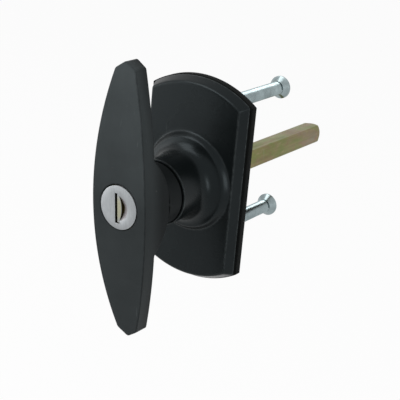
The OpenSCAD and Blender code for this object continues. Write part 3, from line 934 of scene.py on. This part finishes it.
class Tree:
    """A Geometry Nodes tree in the making: named inputs, nodes and links."""

    def __init__(self, name, material):
        self.tree = bpy.data.node_groups.new(name, "GeometryNodeTree")
        self.values = {}
        self.source = self.tree.nodes.new("NodeGroupInput")
        self.sink = self.tree.nodes.new("NodeGroupOutput")
        self.tree.interface.new_socket("Geometry", in_out="OUTPUT", socket_type="NodeSocketGeometry")
        self.material = material

    def input(self, name, value, kind="NodeSocketFloat"):
        """A named input of the tree, with its value."""
        socket = self.tree.interface.new_socket(name, in_out="INPUT", socket_type=kind)
        self.values[socket.identifier] = value
        return self.source.outputs[name]

    def node(self, kind, settings=(), **inputs):
        """A node with its settings and inputs; an underscore in an input's name stands for a space."""
        named = {name.replace("_", " "): value for name, value in inputs.items()}
        return put(self.tree, kind, settings, named)

    def sum(self, *terms):
        """A weighted sum of values: pairs of a factor and a value."""
        total = None
        for factor, value in terms:
            part = sums(self.tree, "MULTIPLY", value, factor)
            total = part if total is None else sums(self.tree, "ADD", total, part)
        return total

    def along(self, x=0.0, y=0.0, z=0.0):
        """A vector from its parts."""
        return self.node("ShaderNodeCombineXYZ", X=x, Y=y, Z=z)

    def moved(self, geometry, shift=(0.0, 0.0, 0.0), turn=(0.0, 0.0, 0.0)):
        """The geometry turned and shifted."""
        return self.node("GeometryNodeTransform", Geometry=geometry, Translation=shift, Rotation=turn)

    def joined(self, *parts):
        """Several geometries as one."""
        made = self.node("GeometryNodeJoinGeometry")
        for part in parts:
            link(self.tree, part, made.inputs[0])
        return made

    def finish(self, geometry):
        """Ends the tree with real meshes and their material."""
        real = self.node("GeometryNodeRealizeInstances", Geometry=geometry)
        done = self.node("GeometryNodeSetMaterial", Geometry=real, Material=self.material)
        link(self.tree, done, self.sink.inputs[0])

    def make(self, name):
        """Runs the tree once and returns its result as an object with a plain mesh."""
        piece = new_object(name, bpy.data.meshes.new(name))
        grown = piece.modifiers.new(name, "NODES")
        grown.node_group = self.tree
        for identifier, value in self.values.items():
            grown[identifier] = value
        flatten(piece)
        return piece


def coil(tree, radius, height, turns, steps, section):
    """A section swept along a coil that stands on the z axis."""
    path = tree.node(
        "GeometryNodeCurveSpiral",
        Resolution=steps,
        Rotations=turns,
        Start_Radius=radius,
        End_Radius=radius,
        Height=height,
    )
    upright = tree.node("GeometryNodeSetCurveNormal", {"mode": "Z_UP"}, Curve=path)
    return tree.node("GeometryNodeCurveToMesh", Curve=upright, Profile_Curve=section, Fill_Caps=True)


def screw_tree(m, r, material):
    """Two countersunk socket screws with cut threads, side by side on their pitch."""
    tree = Tree("Fixing screws", material)
    outer = tree.input("Thread Radius", m.screw_r)
    root = tree.input("Root Radius", m.root_r)
    pitch = tree.input("Thread Pitch", m.pitch)
    steps = tree.input("Thread Steps", m.thread_steps, "NodeSocketInt")
    out = tree.input("Length", m.screw_out)
    into = tree.input("Length In Rose", m.screw_end)
    head = tree.input("Head Radius", m.head_r)
    rim = tree.input("Head Rim", m.head_rim)
    socket = tree.input("Socket Radius", m.socket_r)
    socket_d = tree.input("Socket Depth", m.socket_depth)
    spacing = tree.input("Spacing", r.screw_pitch)

    rod_length = tree.sum((1, out), (1, into), (-1, rim))
    bar = tree.node("GeometryNodeMeshCylinder", Vertices=ROD_SIDES, Radius=root, Depth=rod_length)
    bar = tree.moved(bar.outputs["Mesh"], tree.along(z=tree.sum((0.5, into), (-0.5, out), (0.5, rim))))

    neck = tree.sum((1, rim), (1, head), (-1, outer))
    thread_low = tree.sum((-1, out), (1, neck), (THREAD_START, pitch))
    rise = tree.sum((1, THREAD_FRONT), (-1, thread_low))
    turns = sums(tree.tree, "DIVIDE", rise, pitch)
    depth = tree.sum((2, outer), (-2, root))
    flank = tree.sum((FLANK, pitch))
    ridge = tree.node(
        "GeometryNodeCurvePrimitiveQuadrilateral",
        {"mode": "KITE"},
        Width=depth,
        Bottom_Height=flank,
        Top_Height=flank,
    )
    thread = coil(tree, root, rise, turns, steps, ridge)
    thread = tree.moved(thread, tree.along(z=thread_low))

    cone = tree.node(
        "GeometryNodeMeshCone",
        Vertices=HEAD_SIDES,
        Side_Segments=CONE_RINGS,
        Radius_Top=outer,
        Radius_Bottom=head,
        Depth=tree.sum((1, head), (-1, outer)),
    )
    cone = tree.moved(cone.outputs["Mesh"], tree.along(z=tree.sum((-1, out), (1, rim))))
    disc = tree.node("GeometryNodeMeshCylinder", Vertices=HEAD_SIDES, Radius=head, Depth=rim)
    disc = tree.moved(disc.outputs["Mesh"], tree.along(z=tree.sum((-1, out), (0.5, rim))))
    solid = tree.node("GeometryNodeMeshBoolean", {"operation": "UNION", "solver": "EXACT"})
    for part in (cone, disc):
        link(tree.tree, part, solid.inputs["Mesh 2"])
    cut_depth = tree.sum((2, socket_d))
    cutter = tree.node("GeometryNodeMeshCylinder", Vertices=HEXAGON, Radius=socket, Depth=cut_depth)
    cutter = tree.moved(cutter.outputs["Mesh"], tree.along(z=tree.sum((-1, out))))
    head_made = tree.node(
        "GeometryNodeMeshBoolean",
        {"operation": "DIFFERENCE", "solver": "EXACT"},
        Mesh_1=solid,
        Mesh_2=cutter,
    )

    screw = tree.joined(bar, thread, head_made.outputs["Mesh"])
    places = tree.node(
        "GeometryNodeMeshLine",
        {"mode": "OFFSET"},
        Count=2,
        Start_Location=tree.along(y=tree.sum((-0.5, spacing))),
        Offset=tree.along(y=spacing),
    )
    pair = tree.node("GeometryNodeInstanceOnPoints", Points=places, Instance=screw)
    tree.finish(tree.moved(pair, turn=(math.pi / 2, 0.0, 0.0)))
    return tree


def spring_tree(m, material):
    """The five wafer springs in the plug, as coils of wire."""
    tree = Tree("Wafer springs", material)
    radius = tree.input("Spring Radius", m.spring_r)
    wire = tree.input("Wire Radius", m.spring_wire)
    high = tree.input("Spring Length", m.spring_length)
    turns = tree.input("Turns", m.spring_turns)
    lean = tree.input("Lean", handle_settings().lean)
    section = tree.node("GeometryNodeCurvePrimitiveCircle", Resolution=WIRE_SIDES, Radius=wire)
    middle, rise = tree.sum((1, radius), (-1, wire)), tree.sum((1, high), (-2, wire))
    one = coil(tree, middle, rise, turns, COIL_STEPS, section)
    one = tree.moved(one, tree.along(z=wire))
    one = tree.moved(one, turn=(math.pi / 2, 0.0, 0.0))
    places = tree.node(
        "GeometryNodeMeshLine",
        {"mode": "END_POINTS"},
        Count=SPRING_COUNT,
        Start_Location=SPRING_FIRST,
        Offset=SPRING_LAST,
    )
    row = tree.node("GeometryNodeInstanceOnPoints", Points=places, Instance=one)
    leaning = tree.moved(row, turn=tree.along(z=lean))
    tree.finish(tree.moved(leaning, turn=(math.pi / 2, 0.0, 0.0)))
    return tree


# Materials


def window(tree, value, low, high, to_low=0.0, to_high=1.0):
    """Maps a value's range to another, clamped."""
    return put(
        tree,
        "ShaderNodeMapRange",
        {"clamp": True},
        {"Value": value, "From Min": low, "From Max": high, "To Min": to_low, "To Max": to_high},
    )


def mixed(tree, factor, first, second):
    """A blend of two colours by a mask."""
    inputs = {MIX_FACTOR: factor, MIX_FIRST: rgba(first), MIX_SECOND: rgba(second)}
    made = put(tree, "ShaderNodeMix", {"data_type": "RGBA", "clamp_factor": True}, inputs)
    return made.outputs[MIX_RESULT]


def rgba(value):
    """A colour with its alpha; a node or socket stays as it is."""
    if isinstance(value, (bpy.types.NodeSocket, bpy.types.Node)):
        return value
    return (*value[:3], 1.0)


def effect(name, inputs, outputs):
    """A shader node group with named inputs, their defaults, and named outputs."""
    tree = bpy.data.node_groups.new(name, "ShaderNodeTree")
    for title, value in inputs.items():
        kind = "NodeSocketVector" if isinstance(value, tuple) else "NodeSocketFloat"
        socket = tree.interface.new_socket(title, in_out="INPUT", socket_type=kind)
        socket.default_value = value
    for title in outputs:
        tree.interface.new_socket(title, in_out="OUTPUT", socket_type="NodeSocketFloat")
    return tree, tree.nodes.new("NodeGroupInput").outputs, tree.nodes.new("NodeGroupOutput").inputs


def noise(tree, vector, scale, detail, rough):
    """A noise at that scale, with its detail and roughness."""
    return put(
        tree,
        "ShaderNodeTexNoise",
        {},
        {"Vector": vector, "Scale": scale, "Detail": detail, "Roughness": rough},
    )


def place_of(tree):
    """Object coordinates, in metres in the piece's own frame."""
    return tree.nodes.new("ShaderNodeTexCoord").outputs["Object"]


def times(tone, factors):
    """A colour with its channels multiplied, all by one factor or each by its own."""
    return tuple(np.multiply(tuple(tone), factors).tolist())


def grain_effect():
    """Fine grain of a coat or skin over a slow swell, as a height and a slow mask."""
    tree, given, made = effect("Coat grain", GRAIN_INPUTS, ("Height", "Cloud"))
    place = place_of(tree)
    fine = noise(tree, place, given["Scale"], *FINE)
    slow = noise(tree, place, given["Swell"], *SMOOTH)
    swell = sums(tree, "MULTIPLY", slow, SWELL_SHARE)
    link(tree, sums(tree, "ADD", fine, swell), made["Height"])
    cloud = noise(tree, place, CLOUD_SCALE, *SOFT)
    link(tree, window(tree, cloud, *CLOUD_BAND), made["Cloud"])
    return tree


def wear_effect():
    """Rubbed edges, broken up by noise, as a mask."""
    tree, given, made = effect("Edge wear", WEAR_INPUTS, ("Mask",))
    eased = put(tree, "ShaderNodeBevel", {"samples": WEAR_SAMPLES}, {"Radius": given["Radius"]})
    plain = tree.nodes.new("ShaderNodeNewGeometry").outputs["Normal"]
    dot = put(tree, "ShaderNodeVectorMath", {"operation": "DOT_PRODUCT"}, {0: eased, 1: plain})
    bent = sums(tree, "SUBTRACT", 1.0, dot.outputs["Value"])
    edge = window(tree, bent, *WEAR_BEND)
    patch = window(tree, noise(tree, place_of(tree), WEAR_SCALE, *BROKEN), *WEAR_BAND)
    mask = sums(tree, "MULTIPLY", edge, patch)
    link(tree, sums(tree, "MULTIPLY", mask, given["Amount"], True), made["Mask"])
    return tree


def speck_effect():
    """Dust specks and short fine scratches, as two masks."""
    tree, given, made = effect("Specks and scratches", MARK_INPUTS, ("Specks", "Scratches"))
    place = place_of(tree)
    cells = put(
        tree,
        "ShaderNodeTexVoronoi",
        {"feature": "F1"},
        {"Vector": place, "Scale": SPECK_SCALE, "Randomness": 1.0},
    ).outputs
    dot = window(tree, cells["Distance"], *SPECK_SIZE, 1.0, 0.0)
    chosen = put(tree, "ShaderNodeSeparateColor", {}, {"Color": cells["Color"]})
    few = window(tree, chosen, *SPECK_CHOICE)
    specks = sums(tree, "MULTIPLY", dot, few)
    link(tree, sums(tree, "MULTIPLY", specks, given["Specks"], True), made["Specks"])
    skew = put(
        tree,
        "ShaderNodeMapping",
        {},
        {"Vector": place, "Rotation": SCRATCH_TURN, "Scale": SCRATCH_STRETCH},
    )
    thin = window(tree, noise(tree, skew, 1.0, *LINE), *SCRATCH_BAND)
    here = window(tree, noise(tree, place, SCRATCH_PATCHES, *SLOW), *SCRATCH_PATCH_BAND)
    drawn = sums(tree, "MULTIPLY", thin, here)
    link(tree, sums(tree, "MULTIPLY", drawn, given["Scratches"], True), made["Scratches"])
    return tree


def brush_effect():
    """Fine lines of a brushed or drawn metal along a stretched direction, with slow clouds."""
    tree, given, made = effect("Brushed lines", BRUSH_INPUTS, ("Lines", "Cloud"))
    place = place_of(tree)
    skew = put(tree, "ShaderNodeMapping", {}, {"Vector": place, "Scale": given["Stretch"]})
    link(tree, noise(tree, skew, 1.0, *FINE), made["Lines"])
    cloud = noise(tree, place, given["Cloud Scale"], *CLOUDY)
    link(tree, window(tree, cloud, *CLOUD_BAND), made["Cloud"])
    return tree


EFFECTS = {
    "Coat grain": grain_effect,
    "Edge wear": wear_effect,
    "Specks and scratches": speck_effect,
    "Brushed lines": brush_effect,
}


def use(tree, name, inputs):
    """Places a shared effect in a material, making it the first time it is asked for."""
    made = tree.nodes.new("ShaderNodeGroup")
    made.node_tree = bpy.data.node_groups.get(name) or EFFECTS[name]()
    for title, value in inputs.items():
        made.inputs[title].default_value = value
    return made.outputs


def fresh(name):
    """A material with an empty tree and its shader."""
    material = bpy.data.materials.new(name)
    material.use_nodes = True
    tree = material.node_tree
    tree.nodes.clear()
    shader = tree.nodes.new("ShaderNodeBsdfPrincipled")
    tree.links.new(shader.outputs[0], tree.nodes.new("ShaderNodeOutputMaterial").inputs["Surface"])
    return material, tree, shader


def shader_of(material):
    return next(n for n in material.node_tree.nodes if n.type == "BSDF_PRINCIPLED")


def bump(tree, shader, height, strength, distance):
    """Gives a shader its relief."""
    made = put(tree, "ShaderNodeBump", {}, {"Height": height, "Strength": strength, "Distance": distance})
    link(tree, made, shader.inputs["Normal"])


def coat_material(name, coat, wear_and_painted_edge, look):
    """A sprayed black coat: fine grain, slow clouds, rubbed edges whose colour also paints light and shade
    along them (dark on the handle, light on the rose), dust and a few scratches.
    """
    material, tree, shader = fresh(name)
    skin_of = use(tree, "Coat grain", {"Scale": look["grain"], "Swell": look["swell"]})
    edge = use(tree, "Edge wear", {"Radius": look["edge"], "Amount": look["wear"]})["Mask"]
    marks = use(tree, "Specks and scratches", {"Specks": look["specks"], "Scratches": look["scratches"]})
    tint = mixed(tree, skin_of["Cloud"], *(times(coat, part) for part in COAT_CLOUDS))
    # Rubbed edges: painted shade along the handle's edges and a painted highlight along the rose's
    tint = mixed(tree, edge, tint, wear_and_painted_edge)
    tint = mixed(tree, marks["Scratches"], tint, SCRATCH_TONE)
    tint = mixed(tree, marks["Specks"], tint, DUST_TONE)
    link(tree, tint, shader.inputs["Base Color"])
    dull = window(tree, skin_of["Cloud"], 0.0, 1.0, *(look["rough"] + step for step in COAT_DULL))
    dull = sums(tree, "ADD", dull, sums(tree, "MULTIPLY", marks["Specks"], DUST_DULL), True)
    link(tree, dull, shader.inputs["Roughness"])
    bump(tree, shader, skin_of["Height"], look["relief"], look["depth"])
    shader.inputs["Specular IOR Level"].default_value = look["gloss"]
    shader.inputs["Specular Tint"].default_value = COAT_TINT
    return material


def paint_light_and_shade_on_coat(material):
    """Paints light into the handle's coat, lighter towards its top, and paints shade on the hub and neck
    behind the bar, darker there.
    """
    tree = material.node_tree
    base = shader_of(material).inputs["Base Color"]
    axes = put(tree, "ShaderNodeSeparateXYZ", {}, {"Vector": place_of(tree)}).outputs
    # Painted light: the coat brightens towards the top
    high = window(tree, axes["Z"], *LIT_TOP_LEVELS, *LIT_TOP_TONES)
    # Painted shade: the coat darkens on the hub and neck behind the bar
    behind = window(tree, axes["Y"], *SHADED_LEVELS, 1.0, SHADED_TONE)
    strength = sums(tree, "MULTIPLY", high, behind)
    coat = base.links[0].from_socket
    lit_and_shaded_coat = put(tree, "ShaderNodeVectorMath", {"operation": "SCALE"}, {0: coat, "Scale": strength})
    link(tree, lit_and_shaded_coat, base)


def rubber_material(name, tone):
    """Moulded black rubber: matt, finely pitted, dusty in places."""
    material, tree, shader = fresh(name)
    skin_of = use(tree, "Coat grain", RUBBER_GRAIN)
    marks = use(tree, "Specks and scratches", RUBBER_MARKS)
    tint = mixed(tree, skin_of["Cloud"], tone, times(tone, RUBBER_CLOUD))
    tint = mixed(tree, marks["Specks"], tint, RUBBER_DUST)
    tint = mixed(tree, marks["Scratches"], tint, RUBBER_SCRATCH)
    link(tree, tint, shader.inputs["Base Color"])
    link(tree, window(tree, skin_of["Cloud"], 0.0, 1.0, *RUBBER_ROUGH), shader.inputs["Roughness"])
    bump(tree, shader, skin_of["Height"], RUBBER_RELIEF, SKIN_DEPTH)
    shader.inputs["Specular IOR Level"].default_value = RUBBER_GLOSS
    return material


def nylon_material(name):
    """Moulded black nylon: matt and faintly clouded."""
    material, tree, shader = fresh(name)
    skin_of = use(tree, "Coat grain", NYLON_GRAIN)
    link(tree, mixed(tree, skin_of["Cloud"], *NYLON_TONES), shader.inputs["Base Color"])
    link(tree, window(tree, skin_of["Cloud"], 0.0, 1.0, *NYLON_ROUGH), shader.inputs["Roughness"])
    bump(tree, shader, skin_of["Height"], NYLON_RELIEF, SKIN_DEPTH)
    return material


def metal_material(name, tone, look):
    """A worked metal: drawn lines, slow clouds between two tints, brighter edges."""
    material, tree, shader = fresh(name)
    drawn = use(tree, "Brushed lines", {"Stretch": look["stretch"], "Cloud Scale": METAL_CLOUDS})
    edge = use(tree, "Edge wear", METAL_EDGE)["Mask"]
    marks = use(tree, "Specks and scratches", METAL_MARKS)
    main_tint, second_tint = (times(tone, part) for part in look["tints"])
    tint = mixed(tree, drawn["Cloud"], main_tint, second_tint)
    lines = window(tree, drawn["Lines"], *METAL_LINES, 0.0, METAL_LINE_SHARE)
    tint = mixed(tree, lines, tint, times(main_tint, METAL_LINE_TONE))
    tint = mixed(tree, edge, tint, times(main_tint, METAL_EDGE_TONE))
    tint = mixed(tree, marks["Scratches"], tint, times(main_tint, METAL_SCRATCH_TONE))
    link(tree, tint, shader.inputs["Base Color"])
    dull = window(tree, drawn["Lines"], *METAL_ROUGH_LINES, *(look["rough"] + step for step in METAL_DULL))
    link(tree, dull, shader.inputs["Roughness"])
    bump(tree, shader, drawn["Lines"], look["relief"], METAL_DEPTH)
    shader.inputs["Metallic"].default_value = 1.0
    return material


def rub_land_and_paint_shade(material, tone):
    """Rubs the land between the lock face's keyway and its scoop, paints shade and dirt on its wall, and
    paints shade into the scoop, with less metal there.
    """
    tree = material.node_tree
    shader = shader_of(material)
    base = shader.inputs["Base Color"]
    lean = (0.0, handle_settings().lean, 0.0)
    upright = put(tree, "ShaderNodeMapping", {}, {"Vector": place_of(tree), "Rotation": lean})
    axes = put(tree, "ShaderNodeSeparateXYZ", {}, {"Vector": upright}).outputs
    flat = put(tree, "ShaderNodeCombineXYZ", {}, {"X": axes["X"], "Z": axes["Z"]})
    away = put(tree, "ShaderNodeVectorMath", {"operation": "DISTANCE"}, {0: flat, 1: LAND_CENTRE})
    past = sums(tree, "SUBTRACT", away.outputs["Value"], LAND_R)
    height = sums(tree, "ABSOLUTE", sums(tree, "SUBTRACT", axes["Z"], LAND_MIDDLE), 0.0)
    inside = window(tree, past, *LAND_RIM, 1.0, 0.0)
    land = sums(tree, "MULTIPLY", inside, window(tree, axes["X"], *LAND_SIDE))
    land = sums(tree, "MULTIPLY", land, window(tree, height, *LAND_FADE, 1.0, 0.0))
    tint = mixed(tree, land, base.links[0].from_socket, tone)
    below = window(tree, axes["Y"], *BELOW_FACE)
    # Painted shade, with some dirt, on the land's wall below the face
    shade_and_dirt = sums(tree, "MULTIPLY", below, window(tree, past, *SHADE_AND_DIRT_EDGE, 1.0, 0.0))
    tint = mixed(tree, shade_and_dirt, tint, SHADE_AND_DIRT_TONE)
    # Painted shade in the scoop: a darker grey that is also less metallic
    dish_shade = sums(tree, "MULTIPLY", window(tree, past, *DISH_START), window(tree, past, *DISH_END, 1.0, 0.0))
    dish_shade = sums(tree, "MULTIPLY", dish_shade, below)
    link(tree, mixed(tree, dish_shade, tint, DISH_SHADE_TONE), base)
    link(tree, window(tree, dish_shade, 0.0, 1.0, 1.0, DISH_METAL), shader.inputs["Metallic"])


def yellow_zinc_material(name, gold):
    """Yellow passivated zinc: olive gold that drifts to pink and green, with drawn lines."""
    material, tree, shader = fresh(name)
    drawn = use(tree, "Brushed lines", ZINC_LINES)
    edge = use(tree, "Edge wear", ZINC_EDGE)["Mask"]
    marks = use(tree, "Specks and scratches", ZINC_MARKS)
    longways = put(tree, "ShaderNodeMapping", {}, {"Vector": place_of(tree), "Scale": ZINC_LONGWAYS})
    drift = noise(tree, longways, ZINC_DRIFT, *CLOUDY)
    tint = put(tree, "ShaderNodeValToRGB", {}, {"Fac": window(tree, drift, *ZINC_BAND)})
    stops = tint.color_ramp.elements
    for at in ZINC_STOPS:
        stops.new(at)
    for stop, part in zip(stops, ZINC_TINTS):
        stop.color = rgba(times(gold, part))
    for spots in ZINC_SPOTS:
        cover = noise(tree, longways, spots["scale"], *spots["noise"])
        mask = window(tree, cover, *spots["band"], 0.0, spots["share"])
        tint = mixed(tree, mask, tint, times(gold, spots["tint"]))
    lines = window(tree, drawn["Lines"], *ZINC_LINE_BAND, 0.0, ZINC_LINE_SHARE)
    tint = mixed(tree, lines, tint, times(gold, ZINC_LINE_TONE))
    tint = mixed(tree, edge, tint, times(gold, ZINC_EDGE_TONE))
    tint = mixed(tree, marks["Scratches"], tint, ZINC_SCRATCH)
    link(tree, tint, shader.inputs["Base Color"])
    link(tree, window(tree, drawn["Cloud"], 0.0, 1.0, *ZINC_ROUGH), shader.inputs["Roughness"])
    bump(tree, shader, drawn["Lines"], ZINC_RELIEF, SKIN_DEPTH)
    shader.inputs["Metallic"].default_value = ZINC_METAL
    return material


def handle_coat(name):
    h = handle_settings()
    made = coat_material(name, h.coat, h.wear_and_painted_edge, HANDLE_COAT)
    # Paints light towards the top and shade behind the bar into the coat
    paint_light_and_shade_on_coat(made)
    return made


def rose_coat(name):
    r = rose_settings()
    return coat_material(name, r.coat, r.wear_and_painted_edge, ROSE_COAT)


def black_rubber(name):
    return rubber_material(name, rose_settings().rubber)


def face_steel(name):
    m = metal_settings()
    made = metal_material(name, m.steel, FACE_STEEL)
    rub_land_and_paint_shade(made, m.land)
    return made


def plug_brass(name):
    return metal_material(name, metal_settings().brass, PLUG_BRASS)


def yellow_zinc(name):
    return yellow_zinc_material(name, metal_settings().gold)


def bright_zinc(name):
    return metal_material(name, metal_settings().zinc, BRIGHT_ZINC)


def plain_steel(name):
    return metal_material(name, PLAIN_STEEL_TONE, PLAIN_STEEL)


FINISHES = {
    "handle_coat": handle_coat,
    "rose_coat": rose_coat,
    "gasket_rubber": black_rubber,
    "seal_rubber": black_rubber,
    "face_steel": face_steel,
    "plug_brass": plug_brass,
    "yellow_zinc": yellow_zinc,
    "bright_zinc": bright_zinc,
    "plain_steel": plain_steel,
    "nylon": nylon_material,
}


def finish_of(slot):
    """The material of a slot in the record, made the first time it is asked for."""
    old = bpy.data.materials.get(slot)
    if old and old.get("dressed"):
        return old
    if old:
        old.name = slot + "_cad"
    made = FINISHES[slot](slot)
    made["dressed"] = True
    return made


# Operators


class DressOperator:
    """What the operators share."""

    bl_options = {"REGISTER", "UNDO"}


class TLOCK_OT_handle(DressOperator, bpy.types.Operator):
    """Makes the T handle with rounded cast edges, its hub, neck and journal"""

    bl_idname = "tlock.handle"
    bl_label = "T handle"

    def execute(self, context):
        h = handle_settings()
        piece = new_object("grip_and_neck", skin("grip_and_neck", handle_rings(h), on_handle, False))
        cut_away(piece, handle_rooms())
        shade(piece.data)
        settle(piece, HANDLE_BODY, "handle_coat", finish_of("handle_coat"), "t_handle")
        return {"FINISHED"}


class TLOCK_OT_rose(DressOperator, bpy.types.Operator):
    """Makes the rose's plate and moulded boss"""

    bl_idname = "tlock.rose"
    bl_label = "Rose"

    def execute(self, context):
        r = rose_settings()
        piece = new_object("rose_plate", skin("rose_plate", rose_rings(r), on_door, True))
        cut_away(piece, rose_rooms(r))
        shade(piece.data)
        settle(piece, ROSE_BODY, "rose_coat", finish_of("rose_coat"), "rose")
        return {"FINISHED"}


class TLOCK_OT_gasket(DressOperator, bpy.types.Operator):
    """Makes the rubber gasket with its eased edges"""

    bl_idname = "tlock.gasket"
    bl_label = "Gasket"

    def execute(self, context):
        piece = eased_copy("gasket", "gasket_pad", rose_settings().gasket_edge, GASKET_SEGMENTS)
        settle(piece, ROSE_BODY, "gasket_rubber", finish_of("gasket_rubber"), "gasket")
        return {"FINISHED"}


class TLOCK_OT_lock_face(DressOperator, bpy.types.Operator):
    """Makes the lock's steel face with its keyway and half-moon recess"""

    bl_idname = "tlock.lock_face"
    bl_label = "Lock face"

    def execute(self, context):
        piece = eased_copy("plug_face", "lock_face", metal_settings().face_edge)
        settle(piece, PLUG_BODY, "face_steel", finish_of("face_steel"), "plug_face")
        return {"FINISHED"}


class TLOCK_OT_spindle(DressOperator, bpy.types.Operator):
    """Makes the square spindle with its eased edges"""

    bl_idname = "tlock.spindle"
    bl_label = "Spindle"

    def execute(self, context):
        piece = eased_copy("spindle", "spindle_bar", metal_settings().spindle_edge)
        settle(piece, HANDLE_BODY, "yellow_zinc", finish_of("yellow_zinc"), "spindle")
        return {"FINISHED"}


class TLOCK_OT_screws(DressOperator, bpy.types.Operator):
    """Makes the two fixing screws with their threads"""

    bl_idname = "tlock.screws"
    bl_label = "Fixing screws"

    def execute(self, context):
        material = finish_of("bright_zinc")
        piece = screw_tree(metal_settings(), rose_settings(), material).make("threaded_screws")
        shade(piece.data, THREAD_CREASE)
        settle(piece, ROSE_BODY, "bright_zinc", material, "fixing_screws")
        return {"FINISHED"}


class TLOCK_OT_springs(DressOperator, bpy.types.Operator):
    """Makes the wafer springs as coils of wire"""

    bl_idname = "tlock.springs"
    bl_label = "Wafer springs"

    def execute(self, context):
        material = finish_of("plain_steel")
        piece = spring_tree(metal_settings(), material).make("coil_springs")
        shade(piece.data)
        settle(piece, PLUG_BODY, "plain_steel", material, "wafer_springs")
        return {"FINISHED"}


class TLOCK_OT_hardware(DressOperator, bpy.types.Operator):
    """Gives the lock's inner pieces and the small hardware their finishes"""

    bl_idname = "tlock.hardware"
    bl_label = "Lock and hardware finishes"

    def execute(self, context):
        slots = {s["node"]: s["material_slot"] for s in frame["record"]["subparts"]}
        for name, node in frame["nodes"].items():
            if not node.hide_render:
                node.data.materials.clear()
                node.data.materials.append(finish_of(slots[name]))
        return {"FINISHED"}


class TLOCK_OT_stage(DressOperator, bpy.types.Operator):
    """Sets the camera, the floor, the lights and the white background"""

    bl_idname = "tlock.stage"
    bl_label = "Stage"

    def execute(self, context):
        s = stage_settings()
        set_camera(context.scene, s)
        set_floor(s)
        set_lights(context.scene, s)
        set_world(context.scene, s)
        context.scene.view_settings.view_transform = "Standard"
        return {"FINISHED"}


# Stage


def set_camera(scene, s):
    """Puts the camera where the photo was taken from."""
    a, e, r = s.azimuth, s.elevation, s.roll
    back = Vector((math.sin(a) * math.cos(e), -math.cos(a) * math.cos(e), math.sin(e)))
    level = Vector((math.cos(a), math.sin(a), 0.0))
    high = back.cross(level)
    right = level * math.cos(r) + high * math.sin(r)
    up = high * math.cos(r) - level * math.sin(r)
    camera = bpy.data.objects.new("photo_camera", bpy.data.cameras.new("photo_camera"))
    scene.collection.objects.link(camera)
    camera.data.sensor_width = SENSOR
    camera.data.lens = s.lens
    camera.data.clip_start, camera.data.clip_end = CAMERA_CLIP
    turn = Matrix((right, up, back)).transposed()
    camera.matrix_world = Matrix.Translation(LOOKED_AT + back * s.distance) @ turn.to_4x4()
    scene.camera = camera


def seen_ray(tree):
    """One where a ray comes from the camera, a reflection or a clear body."""
    path = tree.nodes.new("ShaderNodeLightPath").outputs
    return sums(
        tree,
        "MAXIMUM",
        path["Is Camera Ray"],
        sums(tree, "MAXIMUM", path["Is Glossy Ray"], path["Is Transmission Ray"]),
    )


def set_floor(s):
    """Lays a floor that shows white and keeps a trace of the shadow."""
    half = FLOOR_SIZE / 2
    corners = ((-half, -half), (half, -half), (half, half), (-half, half))
    points = [(x, y, -s.floor_drop) for x, y in corners]
    floor = new_object("floor", mesh_from("floor", points, [(0, 1, 2, 3)]))
    material = bpy.data.materials.new("floor")
    material.use_nodes = True
    tree = material.node_tree
    tree.nodes.clear()
    matt = put(tree, "ShaderNodeBsdfDiffuse", {}, {"Color": rgba(s.pale)})
    white = put(tree, "ShaderNodeEmission", {}, {"Color": WHITE, "Strength": 1.0})
    glow = sums(tree, "MULTIPLY", seen_ray(tree), FLOOR_GLOW)
    lit = put(tree, "ShaderNodeMixShader", {}, {0: glow, 1: matt, 2: white})
    put(tree, "ShaderNodeOutputMaterial", {}, {"Surface": lit})
    floor.data.materials.append(material)


def set_lights(scene, s):
    """Puts up the lamps, all turned to the part's origin."""
    for name, (size, place) in LAMPS.items():
        lamp = bpy.data.lights.new(name + "_light", "AREA")
        lamp.energy = getattr(s, name)
        lamp.shape = "RECTANGLE"
        lamp.size, lamp.size_y = size
        light = bpy.data.objects.new(name + "_light", lamp)
        scene.collection.objects.link(light)
        light.location = place
        light.rotation_mode = "QUATERNION"
        light.rotation_quaternion = (-Vector(place)).to_track_quat("-Z", "Y")


def set_world(scene, s):
    """Makes the surroundings white to the camera and in reflections, and dimmer as a light."""
    world = bpy.data.worlds.new("white_room")
    world.use_nodes = True
    tree = world.node_tree
    tree.nodes.clear()
    strength = window(tree, seen_ray(tree), 0.0, 1.0, s.world, 1.0)
    sky = put(tree, "ShaderNodeBackground", {}, {"Color": WHITE, "Strength": strength})
    put(tree, "ShaderNodeOutputWorld", {}, {"Surface": sky})
    scene.world = world


OPERATORS = (
    TLOCK_OT_handle,
    TLOCK_OT_rose,
    TLOCK_OT_gasket,
    TLOCK_OT_lock_face,
    TLOCK_OT_spindle,
    TLOCK_OT_screws,
    TLOCK_OT_springs,
    TLOCK_OT_hardware,
    TLOCK_OT_stage,
)


class TLOCK_PT_panel(bpy.types.Panel):
    """Lists the steps that dress the part"""

    bl_idname = "TLOCK_PT_panel"
    bl_label = "T handle lock"
    bl_space_type = "VIEW_3D"
    bl_region_type = "UI"
    bl_category = "T handle"

    def draw(self, context):
        for operator in OPERATORS:
            self.layout.operator(operator.bl_idname)


SETTINGS = {
    "handle_settings": HandleSettings,
    "rose_settings": RoseSettings,
    "metal_settings": MetalSettings,
    "stage_settings": StageSettings,
}


def register():
    for kind in (*SETTINGS.values(), *OPERATORS, TLOCK_PT_panel):
        bpy.utils.register_class(kind)
    for name, kind in SETTINGS.items():
        setattr(bpy.types.Scene, name, PointerProperty(type=kind))


def unregister():
    for name in SETTINGS:
        delattr(bpy.types.Scene, name)
    for kind in reversed((*SETTINGS.values(), *OPERATORS, TLOCK_PT_panel)):
        bpy.utils.unregister_class(kind)


def main():
    register()
    bpy.ops.tlock.handle()
    bpy.ops.tlock.rose()
    bpy.ops.tlock.gasket()
    bpy.ops.tlock.lock_face()
    bpy.ops.tlock.spindle()
    bpy.ops.tlock.screws()
    bpy.ops.tlock.springs()
    bpy.ops.tlock.hardware()
    bpy.ops.tlock.stage()


if __name__ == "__main__":
    main()
